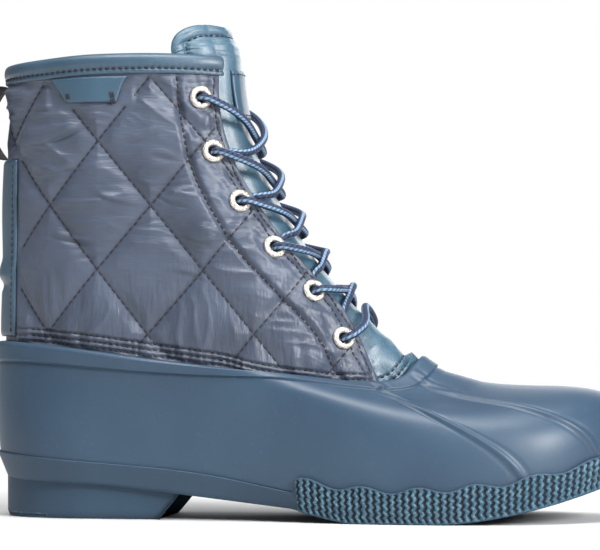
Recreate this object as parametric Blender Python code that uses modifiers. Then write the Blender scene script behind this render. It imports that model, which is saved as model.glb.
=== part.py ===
# Lace-up duck boot for a right foot: rubber lower, quilted shaft, leather tongue.
# Metres, +Z up, +X toward the toe, -Y the outer side. The origin is the middle of the heel's flat face.
import functools
import math

import bmesh
import bpy
import numpy as np
from mathutils import Matrix, Vector

# Driving sizes
SOLE_LENGTH = 0.291
SOLE_BACK = 0.0415
BALL_WIDTH = 0.105
HEEL_LEDGE = 0.0294
RIM_LENGTH = 0.1975
RIM_BACK = 0.0425
RIM_WIDTH = 0.082
RIM_HEIGHT = 0.0803
COLLAR_LENGTH = 0.110
COLLAR_BACK = 0.038
COLLAR_WIDTH = 0.068
COLLAR_HEIGHT = 0.2108
SHELL_WALL = 0.0028
UPPER_WALL = 0.0030
GAP = 0.0003
TUCK_GAP = 0.0006
CUP_GAP = 0.00045

# Rubber shell
BAND_HEIGHT = 0.0080
BAND_PROUD = 0.0011
BEAD_WIDTH = 0.0040
BEAD_HEIGHT = 0.0011
BEAD_END = 0.07
BEAD_FULL = 0.15
TUCK_DEPTH = 0.005
TUCK_TURN = math.radians(15)
SHOULDER_TURN = math.radians(35)
SHOULDER_AROUND = 0.62
SHOULDER_REACH = 0.045

# Outsole
SPRING_RISE = 0.0195
SPRING_START = 0.165
SPRING_POWER = 1.75
CUP_START = 0.103
CUP_BLEND = 0.006
CUP_RISE = 0.0078
WAVE_RISE = 0.0015
WAVE_LENGTH = 0.025
CUP_WALL = 0.0020
LEDGE_WALL = 0.0010
LEDGE_RISE = 0.0008
RIB_PITCH = 0.0045
RIB_DEPTH = 0.0008
WALL_TUCK = 0.0015
LOW_TUCK = 0.8
LOW_RISE = 0.0015
LEDGE_TUCK = 0.0050
HEEL_BACK = 0.0383
HEEL_FRONT = 0.0374
HEEL_WIDTH = 0.062
HEEL_SINK = 0.0015
HEEL_BEVEL = 0.0012
HEEL_AROUND = 0.42
BREAST_LEAN = 0.0114
BREAST_HEIGHT = 0.0136
LUG_DEPTH = 0.0020
LUG_GROOVE = 0.0026
LUG_PITCH = 0.0125
LUG_SWAY = 0.0030
LUG_EDGE = 0.0070
LUG_FOLD = 0.0100

# Insole
INSOLE_THICK = 0.0035
INSOLE_CLEAR = 0.0014
INSOLE_SHARE = 0.02
INSOLE_HEEL = 0.06
INSOLE_TOE = 0.96

# Tongue
TONGUE_THICK = 0.0030
TONGUE_RISE = 0.0178
TONGUE_LEAN = 0.0060
TONGUE_SINK = 0.0014
TONGUE_WING = 0.14
TONGUE_DIP = 0.14
TONGUE_FALL = 0.30
TONGUE_UNDER = 0.88

# Leather trims
BINDING_HEIGHT = 0.0080
BINDING_THICK = 0.0010
BINDING_PAD = 0.0003
BINDING_SEAT = 0.25
STAY_WIDTH = 0.036
STAY_THICK = 0.0011
STAY_FOOT = 0.02
STAY_TOP = 0.66
LOOP_WIDTH = 0.020
LOOP_THICK = 0.0016
LOOP_BOW = 0.0080
LOOP_LENGTH = 0.035
LOOP_SEAT = 0.0009
SIDE_LABEL_TOP = 0.0370
SIDE_LABEL_FOOT = 0.0235
SIDE_LABEL_HEIGHT = 0.0110
SIDE_LABEL_PLACE = 0.375
SIDE_LABEL_DROP = 0.0008
LABEL_THICK = 0.0008
LABEL_LIFT = 0.0010
TONGUE_LABEL_WIDTH = 0.026
TONGUE_LABEL_HEIGHT = 0.018
TONGUE_LABEL_DROP = 0.0035

# Eyelets and lace
EYELETS = 6
EYELET_INSET = 0.0085
EYELET_PITCH = 0.0257
EYELET_FIRST = 0.0190
EYELET_RADIUS = 0.0053
EYELET_HOLE = 0.0026
EYELET_BARREL = 0.0032
EYELET_FLANGE = 0.0012
EYELET_LIFT = 0.0006
EYELET_EASE = 0.0005
HOLE_DEPTH = 0.014
ROUND_STEPS = 8
LACE_RADIUS = 0.0018
TAIL_FALL = 0.95
TAIL_STEP = 0.145
LACE_CLEAR = 0.0006
CORD_STEPS = 7
BAR_RISE = 0.05
NEAR_MIDDLE = 0.93
STRAND_FALL = (0.00, 0.16, 0.38, 0.55, 0.80, 1.00)
LIFT_ABOVE = 3.1
LIFT_BELOW = 1.8
TAIL_HIDE = 0.055
TAIL_SETTLE = 0.0011
HOVER = EYELET_LIFT + EYELET_FLANGE + LACE_RADIUS + LACE_CLEAR
OVER_EDGE = HOVER - 0.0002
UNDER_EDGE = LACE_RADIUS + LACE_CLEAR + 0.0004 - UPPER_WALL

# Places around one half of the boot, from heel to toe.
STATIONS = (0.00, 0.10, 0.22, 0.36, 0.50, 0.64, 0.78, 0.92, 1.00)

# Foot of the shell: share of SOLE_LENGTH, half width and shift of the middle as shares of BALL_WIDTH.
BASE_ALONG = (0.000, 0.060, 0.190, 0.345, 0.500, 0.665, 0.843, 0.966, 1.000)
BASE_HALF = (0.000, 0.255, 0.325, 0.330, 0.385, 0.480, 0.455, 0.235, 0.000)
BASE_MIDDLE = (0.000, 0.000, 0.000, -0.020, -0.030, -0.015, 0.010, 0.050, 0.060)

# Height of the seam between shell and sole: share of SOLE_LENGTH, share of HEEL_LEDGE.
SEAM_ALONG = (0.00, 0.184, 0.335, 0.40, 0.497, 0.579, 0.71, 0.84, 0.93, 1.00)
SEAM_HEIGHT = (1.00, 0.854, 0.718, 0.612, 0.425, 0.306, 0.289, 0.435, 0.663, 0.867)

# Underside of the sole behind its flat forefoot: share of SOLE_LENGTH, share of BREAST_HEIGHT.
ARCH_ALONG = (0.00, 0.184, 0.335, 0.41, 0.487, 0.54, 0.579)
ARCH_HEIGHT = (1.32, 1.15, 0.80, 0.62, 0.44, 0.16, 0.00)

# Rim of the shell: shares of RIM_LENGTH, RIM_WIDTH and RIM_HEIGHT.
RIM_ALONG = (0.000, 0.055, 0.210, 0.380, 0.540, 0.700, 0.905, 0.985, 1.000)
RIM_HALF = (0.000, 0.243, 0.423, 0.481, 0.500, 0.481, 0.314, 0.141, 0.000)
RIM_UP = (1.000, 1.000, 0.964, 0.912, 0.870, 0.828, 0.782, 0.865, 0.922)

# Shell section between seam and rim: handles as shares of the rise, of BALL_WIDTH, of the run and of the rise.
SHELL_UP = (0.33, 0.33, 0.33, 0.36, 0.48, 0.72, 0.95, 1.15, 1.21)
SHELL_OUT = (0.020, 0.020, 0.020, 0.030, 0.040, 0.040, 0.050, 0.100, 0.120)
SHELL_REACH = (0.50, 0.50, 0.60, 0.60, 0.66, 0.62, 0.50, 0.40, 0.37)
SHELL_DROP = (0.33, 0.33, 0.33, 0.30, 0.25, 0.22, 0.36, 0.52, 0.62)

# Collar: shares of COLLAR_LENGTH, COLLAR_WIDTH and COLLAR_HEIGHT.
COLLAR_ALONG = (0.000, 0.060, 0.200, 0.370, 0.550, 0.740, 0.925, 0.990, 1.000)
COLLAR_HALF = (0.000, 0.215, 0.390, 0.485, 0.500, 0.460, 0.330, 0.140, 0.000)
COLLAR_UP = (0.981, 0.984, 0.990, 0.997, 1.000, 1.000, 0.996, 0.994, 0.994)

# Shaft section between rim and collar: handles as shares of the run and rise, and the waist of COLLAR_WIDTH.
SHAFT_LEAN_LOW = (0.00, 0.00, 0.10, 0.18, 0.24, 0.28, 0.34, 0.48, 0.53)
SHAFT_RISE_LOW = (0.33, 0.33, 0.33, 0.33, 0.33, 0.32, 0.31, 0.28, 0.27)
SHAFT_LEAN_HIGH = (0.00, 0.00, 0.05, 0.08, 0.06, 0.04, 0.00, 0.00, 0.00)
SHAFT_RISE_HIGH = (0.33, 0.33, 0.33, 0.33, 0.33, 0.34, 0.36, 0.39, 0.40)
SHAFT_WAIST = (0.000, 0.005, 0.020, 0.020, 0.010, -0.020, -0.030, -0.010, 0.000)

# Front edge of the quilted shaft: height as a share of the shaft, place around the half.
EDGE_UP = (-1.00, 0.00, 0.13, 0.25, 0.38, 0.50, 0.75, 0.88, 1.00)
EDGE_AROUND = (0.800, 0.795, 0.815, 0.840, 0.805, 0.775, 0.752, 0.765, 0.790)

# Raised beads of the shell: height as a share of its section, places around the half.
BEAD_UP = (0.00, 0.10, 0.34, 0.58, 0.83, 1.00)
BEAD_SIDE = (0.795, 0.777, 0.736, 0.725, 0.750, 0.778)
BEAD_TOE = (0.912, 0.897, 0.860, 0.855, 0.871, 0.905)

# Shell mesh: columns between heel, bead edges, bead crests and toe, which start on a crest, and rows.
SHELL_COLUMNS = (15, 1, 1, 3, 1, 1, 4)
ON_CREST = (0.0, 0.0, 1.0, 0.0, 0.0, 1.0, 0.0)
SHELL_ROWS = (0.0, 0.07, 0.15, 0.24, 0.34, 0.45, 0.57, 0.69, 0.80)
INNER_ROWS = (1.0, 0.95, 0.87, 0.66, 0.42, 0.22, 0.0)
BAND_DEPTH = (1.10, 1.00, 0.10, 0.00)
BAND_OUT = (0.0, 1.0, 1.0, 0.4)

# Shaft mesh: columns, and rows as height shares.
UPPER_COLUMNS = 32
UPPER_ROWS = (-1.0, -0.4, 0.0, 0.10, 0.22, 0.35, 0.48, 0.62, 0.76, 0.88)

# Tongue mesh: rows as height shares, 0 at the rim, 1 at the collar and 2 at its top.
TONGUE_COLUMNS = 16
TONGUE_REACH = 0.998
TONGUE_ROWS = (-0.9, 0.005, 0.10, 0.22, 0.34, 0.48, 0.62, 0.76, 0.90, 1.0, 1.3, 1.7, 2.0)

UP = np.array((0.0, 0.0, 1.0))
FLAT = np.array((1.0, 1.0, 0.0))


@functools.lru_cache(maxsize=None)
def spline_bends(knots, values):
    """Second slopes of the natural cubic spline through the values."""
    step = np.diff(knots)
    slope = np.diff(values) / step
    matrix = np.eye(len(knots))
    right = np.zeros(len(knots))
    for i in range(1, len(knots) - 1):
        matrix[i, i - 1:i + 2] = step[i - 1], 2 * (step[i - 1] + step[i]), step[i]
        right[i] = 6 * (slope[i] - slope[i - 1])
    return np.asarray(knots), np.asarray(values), np.linalg.solve(matrix, right)


def spline(knots, values, at):
    """Natural cubic spline through the values, read at any places."""
    knots, values, bend = spline_bends(tuple(knots), tuple(values))
    at = np.asarray(at, float)
    i = np.clip(np.searchsorted(knots, at) - 1, 0, len(knots) - 2)
    step = knots[i + 1] - knots[i]
    a = (knots[i + 1] - at) / step
    b = (at - knots[i]) / step
    curve = (a**3 - a) * bend[i] + (b**3 - b) * bend[i + 1]
    return a * values[i] + b * values[i + 1] + curve * step**2 / 6


@functools.lru_cache(maxsize=None)
def mirrored(column, sign):
    """A column of a station table carried on past heel and toe."""
    before = [(-place, sign * item) for place, item in zip(STATIONS[4:0:-1], column[4:0:-1])]
    beyond = [(2 - place, sign * item) for place, item in zip(STATIONS[-2:3:-1], column[-2:3:-1])]
    return tuple(zip(*before, *zip(STATIONS, column), *beyond))


def around(column, place, odd=False):
    """A column of a station table at a signed place, minus on the outer side, mirrored past heel and toe."""
    read = spline(*mirrored(column, -1.0 if odd else 1.0), np.abs(place))
    return np.sign(place) * read if odd else read


def smooth_step(low, high, at):
    share = np.clip((np.asarray(at) - low) / (high - low), 0.0, 1.0)
    return share * share * (3 - 2 * share)


def bezier(start, first, second, end, share):
    t = np.asarray(share)[..., None]
    return start * (1 - t) ** 3 + 3 * first * t * (1 - t) ** 2 + 3 * second * t**2 * (1 - t) + end * t**3


def seam_height(x):
    return spline(SEAM_ALONG, SEAM_HEIGHT, (x + SOLE_BACK) / SOLE_LENGTH) * HEEL_LEDGE


def under_height(x):
    """Height of the sole's underside without its heel block."""
    share = (x + SOLE_BACK) / SOLE_LENGTH
    arch = np.interp(share, ARCH_ALONG, ARCH_HEIGHT) * BREAST_HEIGHT
    tip = SOLE_LENGTH - SOLE_BACK
    spring = np.clip((x - SPRING_START) / (tip - SPRING_START), 0.0, None) ** SPRING_POWER * SPRING_RISE
    return arch + spring


def base_loop(place):
    x = around(BASE_ALONG, place) * SOLE_LENGTH - SOLE_BACK
    y = (around(BASE_HALF, place, True) + around(BASE_MIDDLE, place)) * BALL_WIDTH
    return np.stack([x, y, seam_height(x)], -1)


def rim_loop(place):
    x = around(RIM_ALONG, place) * RIM_LENGTH - RIM_BACK
    y = around(RIM_HALF, place, True) * RIM_WIDTH
    return np.stack([x, y, around(RIM_UP, place) * RIM_HEIGHT], -1)


def collar_loop(place):
    x = around(COLLAR_ALONG, place) * COLLAR_LENGTH - COLLAR_BACK
    y = around(COLLAR_HALF, place, True) * COLLAR_WIDTH
    return np.stack([x, y, around(COLLAR_UP, place) * COLLAR_HEIGHT], -1)


def plan_normal(loop, place, step=1e-3):
    """Level direction pointing out of a closed loop."""
    along = loop(place + step) - loop(place - step)
    out = np.stack([-along[..., 1], along[..., 0], 0 * along[..., 0]], -1)
    return out / np.linalg.norm(out, axis=-1, keepdims=True)


def shell_face(place, share):
    """Outer face of the rubber shell: share 0 at the seam, 1 at the rim."""
    place, share = np.broadcast_arrays(np.asarray(place, float), np.asarray(share, float))
    base, rim = base_loop(place), rim_loop(place)
    rise = (rim - base)[..., 2:]
    run = (base - rim) * FLAT
    rows = (SHELL_UP, SHELL_OUT, SHELL_REACH, SHELL_DROP)
    up, out, reach, drop = (around(row, place)[..., None] for row in rows)
    first = base + UP * up * rise + plan_normal(base_loop, place) * out * BALL_WIDTH
    second = rim + run * reach - UP * drop * rise
    return bezier(base, first, second, rim, share)


def offset(face, place, share, distance, step=1e-4):
    """A point of a face moved out along the face's own normal."""
    place, share = np.broadcast_arrays(np.asarray(place, float), np.asarray(share, float))
    along = face(place + step, share) - face(place - step, share)
    rising = face(place, share + step) - face(place, share - step)
    out = np.cross(rising, along)
    out = out / np.linalg.norm(out, axis=-1, keepdims=True)
    return face(place, share) + out * np.asarray(distance)[..., None]


def shell_foot(place, step=1e-4):
    """Where the shaft leaves the shell's rim, and the way down from there, just clear of the shell's inside."""
    rim = shell_face(place, 1.0)
    along = shell_face(place + step, 1.0) - shell_face(place - step, 1.0)
    out = np.cross(rim - shell_face(place, 1.0 - step), along)
    out = out / np.linalg.norm(out, axis=-1, keepdims=True)
    down = np.cross(out, along)
    down = down / np.linalg.norm(down, axis=-1, keepdims=True)
    shoulder = np.exp(-((np.abs(place) - SHOULDER_AROUND) / SHOULDER_REACH) ** 2)[..., None]
    turn = TUCK_TURN + SHOULDER_TURN * shoulder
    down = down * np.cos(turn) - out * np.sin(turn)
    return rim - out * (SHELL_WALL + TUCK_GAP), down


def shaft_face(place, share):
    """Outer face of the shaft: 0 at the rim, 1 at the collar, below 0 tucked behind the shell."""
    place, share = np.broadcast_arrays(np.asarray(place, float), np.asarray(share, float))
    foot, down = shell_foot(place)
    tucked = foot + down * TUCK_DEPTH * np.maximum(-share, 0)[..., None]
    top = collar_loop(place)
    rise = (top - foot)[..., 2:]
    run = (top - foot) * FLAT
    rows = (SHAFT_LEAN_LOW, SHAFT_RISE_LOW, SHAFT_LEAN_HIGH, SHAFT_RISE_HIGH, SHAFT_WAIST)
    lean_low, rise_low, lean_high, rise_high, waist = (around(row, place)[..., None] for row in rows)
    pinch = plan_normal(collar_loop, place) * waist * COLLAR_WIDTH
    first = foot + run * lean_low + UP * rise_low * rise - pinch
    second = top - run * lean_high - UP * rise_high * rise - pinch
    above = bezier(foot, first, second, top, np.maximum(share, 0))
    return np.where((share < 0)[..., None], tucked, above)


def tongue_face(across, share):
    """Outer face of the tongue: across -1 to 1, share 0 at the rim, 1 at the collar, 2 at its top."""
    across, share = np.broadcast_arrays(np.asarray(across, float), np.asarray(share, float))
    low = np.minimum(share, 1.0)
    width = 1 - edge_around(low) + TONGUE_WING
    place = np.where(across < 0, 1.0, -1.0) * (1 - width * np.abs(across))
    covered = (1 - edge_around(low)) / width
    cover = UPPER_WALL + BINDING_THICK + GAP + TUCK_GAP
    sunk = smooth_step(TONGUE_FALL, TONGUE_UNDER, np.abs(across) / covered) * cover + TONGUE_SINK
    body = offset(shaft_face, place, low, -sunk)
    over = np.maximum(share - 1, 0)
    dome = (1 - across**4) ** 0.5 * (1 - TONGUE_DIP * (1 - across**2) ** 2)
    rise = UP * (TONGUE_RISE * dome * over)[..., None]
    lean = np.array((1.0, 0.0, 0.0)) * (TONGUE_LEAN * dome * over**1.5)[..., None]
    return body + rise - lean


def edge_around(share):
    return spline(EDGE_UP, EDGE_AROUND, share)


def pace_at(face, place, share, step=1e-3):
    """Length of a face per unit of place."""
    return float(np.linalg.norm(face(place + step, share) - face(place - step, share)) / (2 * step))


def length_along(points):
    """Running length of a line of points."""
    steps = np.linalg.norm(np.diff(points, axis=0), axis=1)
    return np.concatenate([[0.0], np.cumsum(steps)])


def share_at_depth(depth):
    """Height share of the shaft at a depth under the collar, measured down the front edge."""
    shares = np.linspace(1.0, 0.0, 101)
    run = length_along(shaft_face(edge_around(shares), shares))
    return float(np.interp(depth, run, shares))


def place_inward(share, distance):
    """Place around the half that lies a distance behind the shaft's front edge."""
    places = np.linspace(float(edge_around(share)), 0.3, 101)
    run = length_along(shaft_face(places, np.full_like(places, share)))
    return float(np.interp(distance, run, places))


def place_beside_heel(share, distance):
    """Place around the half that lies a distance from the back seam."""
    places = np.linspace(0.0, 0.5, 101)
    run = length_along(shaft_face(places, np.full_like(places, share)))
    return float(np.interp(distance, run, places))


# Scene, collections and materials
for old in list(bpy.data.objects):
    bpy.data.objects.remove(old)
boot = bpy.data.collections.new("duck_boot")
cutters = bpy.data.collections.new("cutters")
holes = bpy.data.collections.new("eyelet_holes")
for group in (boot, cutters, holes):
    bpy.context.scene.collection.children.link(group)


def make_material(name, colour, roughness, metallic=0.0):
    material = bpy.data.materials.new(name)
    material.use_nodes = True
    shader = material.node_tree.nodes["Principled BSDF"]
    shader.inputs["Base Color"].default_value = (*colour, 1.0)
    shader.inputs["Roughness"].default_value = roughness
    shader.inputs["Metallic"].default_value = metallic
    return material


RUBBER = make_material("slate rubber", (0.085, 0.165, 0.235), 0.45)
NYLON = make_material("quilted nylon", (0.105, 0.130, 0.170), 0.42)
LEATHER = make_material("blue leather", (0.095, 0.200, 0.290), 0.30)
WEBBING = make_material("black webbing", (0.012, 0.013, 0.016), 0.80)
LINING = make_material("footbed lining", (0.060, 0.070, 0.085), 0.90)
METAL = make_material("pale nickel", (0.72, 0.69, 0.64), 0.30, 1.0)
CORD = make_material("lace cord", (0.045, 0.090, 0.150), 0.60)


def place_mesh(name, mesh, material, group=boot):
    body = bpy.data.objects.new(name, mesh)
    mesh.materials.append(material)
    mesh.shade_smooth()
    mesh.set_sharp_from_angle(angle=math.radians(35))
    group.objects.link(body)
    return body


def finish_mesh(name, shape, material, group=boot):
    bmesh.ops.recalc_face_normals(shape, faces=shape.faces)
    mesh = bpy.data.meshes.new(name)
    shape.to_mesh(mesh)
    shape.free()
    return place_mesh(name, mesh, material, group)


def add_grid(shape, points, closed=False):
    """Quads over rows of points, and the rows of vertices."""
    rows = [[shape.verts.new(point) for point in row] for row in np.asarray(points).tolist()]
    count = len(rows[0])
    for low, high in zip(rows, rows[1:]):
        for i in range(count if closed else count - 1):
            j = (i + 1) % count
            shape.faces.new((low[i], low[j], high[j], high[i]))
    return rows


def bridge_rows(shape, first, second, closed=False):
    count = len(first)
    for i in range(count if closed else count - 1):
        j = (i + 1) % count
        shape.faces.new((first[i], first[j], second[j], second[i]))


def make_sheet(name, outer, inner, material):
    """A wall between two faces of like points, closed all round its border."""
    shape = bmesh.new()
    outer_rows = add_grid(shape, outer)
    inner_rows = add_grid(shape, inner)
    bridge_rows(shape, outer_rows[0], inner_rows[0])
    bridge_rows(shape, outer_rows[-1], inner_rows[-1])
    for end in (0, -1):
        bridge_rows(shape, [row[end] for row in outer_rows], [row[end] for row in inner_rows])
    return finish_mesh(name, shape, material)


def make_channel(name, sections, material):
    """A solid swept through closed sections of like points, capped at both ends."""
    shape = bmesh.new()
    rows = add_grid(shape, sections, closed=True)
    shape.faces.new(rows[0])
    shape.faces.new(rows[-1])
    return finish_mesh(name, shape, material)


# Rubber shell
def shell_places(share):
    """Columns around the shell at one height, which follow its four beads."""
    side = float(spline(BEAD_UP, BEAD_SIDE, share))
    toe = float(spline(BEAD_UP, BEAD_TOE, share))
    knots = [0.0]
    for bead in (side, toe):
        reach = BEAD_WIDTH / 2 / pace_at(shell_face, bead, share)
        knots += [bead - reach, bead, bead + reach]
    knots.append(1.0)
    half = []
    lifts = []
    for low, high, count, lift in zip(knots, knots[1:], SHELL_COLUMNS, ON_CREST):
        half += list(np.linspace(low, high, count, endpoint=False))
        lifts += [lift] + [0.0] * (count - 1)
    places = half + [1.0] + [-item for item in half[:0:-1]]
    return np.array(places), np.array(lifts + [0.0] + lifts[:0:-1]) * BEAD_HEIGHT


def band_share(place, depth):
    """Height share of the shell at a depth under the rim."""
    step = 1e-3
    speed = np.linalg.norm(shell_face(place, 1.0) - shell_face(place, 1.0 - step), axis=-1) / step
    return 1 - depth / speed


def make_shell():
    rings = []
    for share in SHELL_ROWS:
        places, lifts = shell_places(share)
        fade = smooth_step(BEAD_END, BEAD_FULL, share)
        rings.append(offset(shell_face, places, share, lifts * fade))
    places, lifts = shell_places(1.0)
    for depth, proud in zip(BAND_DEPTH, BAND_OUT):
        share = band_share(places, depth * BAND_HEIGHT)
        rings.append(offset(shell_face, places, share, np.full_like(places, proud * BAND_PROUD)))
    for share in INNER_ROWS:
        places, _ = shell_places(share)
        rings.append(offset(shell_face, places, share, np.full_like(places, -SHELL_WALL)))
    shape = bmesh.new()
    rows = add_grid(shape, rings, closed=True)
    bridge_rows(shape, rows[-1], rows[0], closed=True)
    return finish_mesh("rubber_shell", shape, RUBBER)


# Outsole
def sole_places():
    """Places along one half: wide steps at heel and waist, one step to each flank of a rib in front."""
    places = np.linspace(0.0, 1.0, 1001)
    points = base_loop(places)
    run = length_along(points)
    start = float(np.interp(CUP_START, points[:, 0], run))
    back = np.linspace(0.0, start, 15, endpoint=False)
    ribs = 2 * round((run[-1] - start) / RIB_PITCH)
    front = np.linspace(start, run[-1], ribs + 1)
    return np.interp(np.concatenate([back, front]), run, places), len(back)


def make_sole_plate():
    half, back = sole_places()
    ribbed = np.zeros(len(half))
    ribbed[back::2] = 1.0
    places = np.concatenate([half, -half[-2:0:-1]])
    ribbed = np.concatenate([ribbed, ribbed[-2:0:-1]])
    x = base_loop(places)[:, 0]
    out = plan_normal(base_loop, places)
    cup = smooth_step(CUP_START - CUP_BLEND, CUP_START, x)
    wave = WAVE_RISE * np.cos(2 * math.pi * (x - CUP_START) / WAVE_LENGTH - math.pi / 2)
    lip = LEDGE_RISE + cup * (CUP_RISE - LEDGE_RISE + wave)
    wall = LEDGE_WALL + cup * (CUP_WALL - LEDGE_WALL)
    tuck = LEDGE_TUCK + cup * (WALL_TUCK - LEDGE_TUCK)
    deck = base_loop(places) + out * GAP
    deck[:, 2] -= GAP
    rise = (rim_loop(places) - base_loop(places))[:, 2]
    lip_share = lip / (3 * around(SHELL_UP, places) * rise)
    inner = offset(shell_face, places, lip_share, np.full_like(places, CUP_GAP))
    outer = inner + out * (wall - ribbed * RIB_DEPTH)[:, None] - UP * GAP
    low = base_loop(places) + out * (wall - LOW_TUCK * tuck)[:, None]
    low[:, 2] = under_height(low[:, 0]) + LOW_RISE
    low -= out * (ribbed * RIB_DEPTH)[:, None]
    floor = base_loop(places) + out * (wall - tuck)[:, None]
    floor[:, 2] = under_height(floor[:, 0])
    shape = bmesh.new()
    rows = add_grid(shape, [deck, inner, outer, low, floor], closed=True)
    last = len(half) - 1
    for row in (rows[0], rows[-1]):
        shape.faces.new((row[0], row[1], row[-1]))
        for i in range(1, last - 1):
            shape.faces.new((row[i], row[i + 1], row[-i - 1], row[-i]))
        shape.faces.new((row[last - 1], row[last], row[last + 1]))
    return finish_mesh("outsole", shape, RUBBER)


def make_heel_block():
    """A block under the heel, its front cut to the sloping breast."""
    places = np.linspace(-HEEL_AROUND, HEEL_AROUND, 29)
    loop = base_loop(places)
    x = loop[:, 0] + SOLE_BACK - HEEL_BACK
    y = loop[:, 1] / np.abs(loop[:, 1]).max() * HEEL_WIDTH / 2
    back = 1 - smooth_step(0.0, HEEL_BACK, x + HEEL_BACK)
    floor = np.stack([x + HEEL_BEVEL * back, y * (1 - 2 * HEEL_BEVEL / HEEL_WIDTH), 0 * x], -1)
    bevel = np.stack([x, y, 0 * x + HEEL_BEVEL], -1)
    top = np.stack([x, y, under_height(x) + HEEL_SINK], -1)
    shape = bmesh.new()
    rows = add_grid(shape, [floor, bevel, top], closed=True)
    shape.faces.new(rows[0])
    shape.faces.new(rows[-1])
    everything = list(shape.verts) + list(shape.edges) + list(shape.faces)
    point = Vector((HEEL_FRONT, 0.0, 0.0))
    normal = Vector((BREAST_HEIGHT, 0.0, -BREAST_LEAN))
    cut = bmesh.ops.bisect_plane(shape, geom=everything, plane_co=point, plane_no=normal, clear_outer=True)
    edges = [item for item in cut["geom_cut"] if isinstance(item, bmesh.types.BMEdge)]
    bmesh.ops.contextual_create(shape, geom=edges)
    return finish_mesh("heel_block", shape, RUBBER, cutters)


def make_lug_cutter(name, x, half_width):
    """A zigzag bar across the sole, which cuts one groove between two rows of lugs."""
    folds = 2 * round(half_width / LUG_FOLD)
    y = np.linspace(-half_width, half_width, folds + 1)
    sway = np.where(np.arange(folds + 1) % 2, LUG_SWAY, -LUG_SWAY) / 2
    deep = float(under_height(x)) + LUG_DEPTH
    sections = []
    for across, shift in zip(y, sway):
        rear = x + shift - LUG_GROOVE / 2
        front = rear + LUG_GROOVE
        below = -LUG_DEPTH
        sections.append(((rear, across, below), (front, across, below), (front, across, deep), (rear, across, deep)))
    shape = bmesh.new()
    rows = add_grid(shape, sections, closed=True)
    shape.faces.new(rows[0])
    shape.faces.new(rows[-1])
    return finish_mesh(name, shape, RUBBER, cutters)


def half_width_at(x):
    places = np.linspace(0.0, 1.0, 401)
    points = base_loop(places)
    return float(np.interp(x, points[:, 0], np.abs(points[:, 1])))


def cut_body(body, cutter, operation):
    change = body.modifiers.new(cutter.name, "BOOLEAN")
    change.operation = operation
    change.object = cutter


def make_outsole():
    sole = make_sole_plate()
    block = make_heel_block()
    cut_body(sole, block, "UNION")
    spots = [HEEL_FRONT - LUG_PITCH * (i + 0.5) for i in range(5)]
    spots = [x for x in spots if x > 2 * LUG_EDGE - HEEL_BACK]
    sides = [half_width_at(x) * HEEL_WIDTH / (2 * half_width_at(0.0)) - LUG_EDGE for x in spots]
    front = CUP_START + 2 * LUG_PITCH
    while front < SOLE_LENGTH - SOLE_BACK - 3 * LUG_PITCH:
        spots.append(front)
        sides.append(half_width_at(front) - LUG_EDGE)
        front += LUG_PITCH
    for i, (x, side) in enumerate(zip(spots, sides), 1):
        cut_body(sole, make_lug_cutter(f"lug_groove_{i}", x, side), "DIFFERENCE")
    return sole


def make_insole():
    places = np.linspace(INSOLE_HEEL, INSOLE_TOE, 25)
    clear = np.full_like(places, -(SHELL_WALL + INSOLE_CLEAR))
    inner = offset(shell_face, places, INSOLE_SHARE, clear)
    outer = offset(shell_face, -places, INSOLE_SHARE, clear)
    x = np.minimum(inner[:, 0], outer[:, 0])
    rows = []
    for lift in (GAP, GAP + INSOLE_THICK):
        z = seam_height(x) + lift
        left = np.stack([x, outer[:, 1], z], -1)
        right = np.stack([x, inner[:, 1], z], -1)
        rows.append(np.stack([left, right], 1))
    return make_sheet("insole", rows[1], rows[0], LINING)


# Quilted shaft
def binding_share(place):
    """Height share at the lower edge of the collar binding."""
    step = 1e-3
    speed = np.linalg.norm(shaft_face(place, 1.0) - shaft_face(place, 1.0 - step), axis=-1) / step
    return 1 - BINDING_HEIGHT / speed


def seat_share(place):
    """Height share at the shaft's own top, under the binding's fold."""
    return 1 - (1 - binding_share(place)) * BINDING_SEAT


def collar_columns():
    """Signed places of the shaft's columns at its top."""
    edge = float(edge_around(1.0))
    return np.linspace(-edge, edge, UPPER_COLUMNS + 1)


def make_upper():
    fractions = np.linspace(-1.0, 1.0, UPPER_COLUMNS + 1)
    outer = []
    inner = []
    for share in UPPER_ROWS:
        places = fractions * float(edge_around(share))
        outer.append(offset(shaft_face, places, share, np.zeros_like(places)))
        inner.append(offset(shaft_face, places, share, np.full_like(places, -UPPER_WALL)))
    places = collar_columns()
    for share in (binding_share(places), seat_share(places)):
        outer.append(offset(shaft_face, places, share, np.zeros_like(places)))
        inner.append(offset(shaft_face, places, share, np.full_like(places, -UPPER_WALL)))
    upper = make_sheet("upper", np.array(outer), np.array(inner), NYLON)
    change = upper.modifiers.new("eyelet holes", "BOOLEAN")
    change.operation = "DIFFERENCE"
    change.operand_type = "COLLECTION"
    change.collection = holes
    return upper


def make_binding():
    """A folded strip over the collar's edge, from one side of the throat round the back to the other."""
    places = collar_columns()
    low = binding_share(places)
    seat = seat_share(places)
    middle = (low + 1) / 2
    far = GAP + BINDING_THICK
    section = (
        (low, GAP, 0.0), (low, far, 0.0), (middle, far + BINDING_PAD, 0.0), (1.0, far, 0.0),
        (1.0, -UPPER_WALL / 2, BINDING_THICK), (1.0, -UPPER_WALL - far, 0.0), (low, -UPPER_WALL - far, 0.0),
        (low, -UPPER_WALL - GAP, 0.0), (seat, -UPPER_WALL - GAP, 2 * GAP), (seat, GAP, 2 * GAP),
    )
    corners = []
    for share, away, lift in section:
        corners.append(offset(shaft_face, places, share, np.full_like(places, away)) + UP * lift)
    return make_channel("collar_binding", np.stack(corners, 1), LEATHER)


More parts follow.
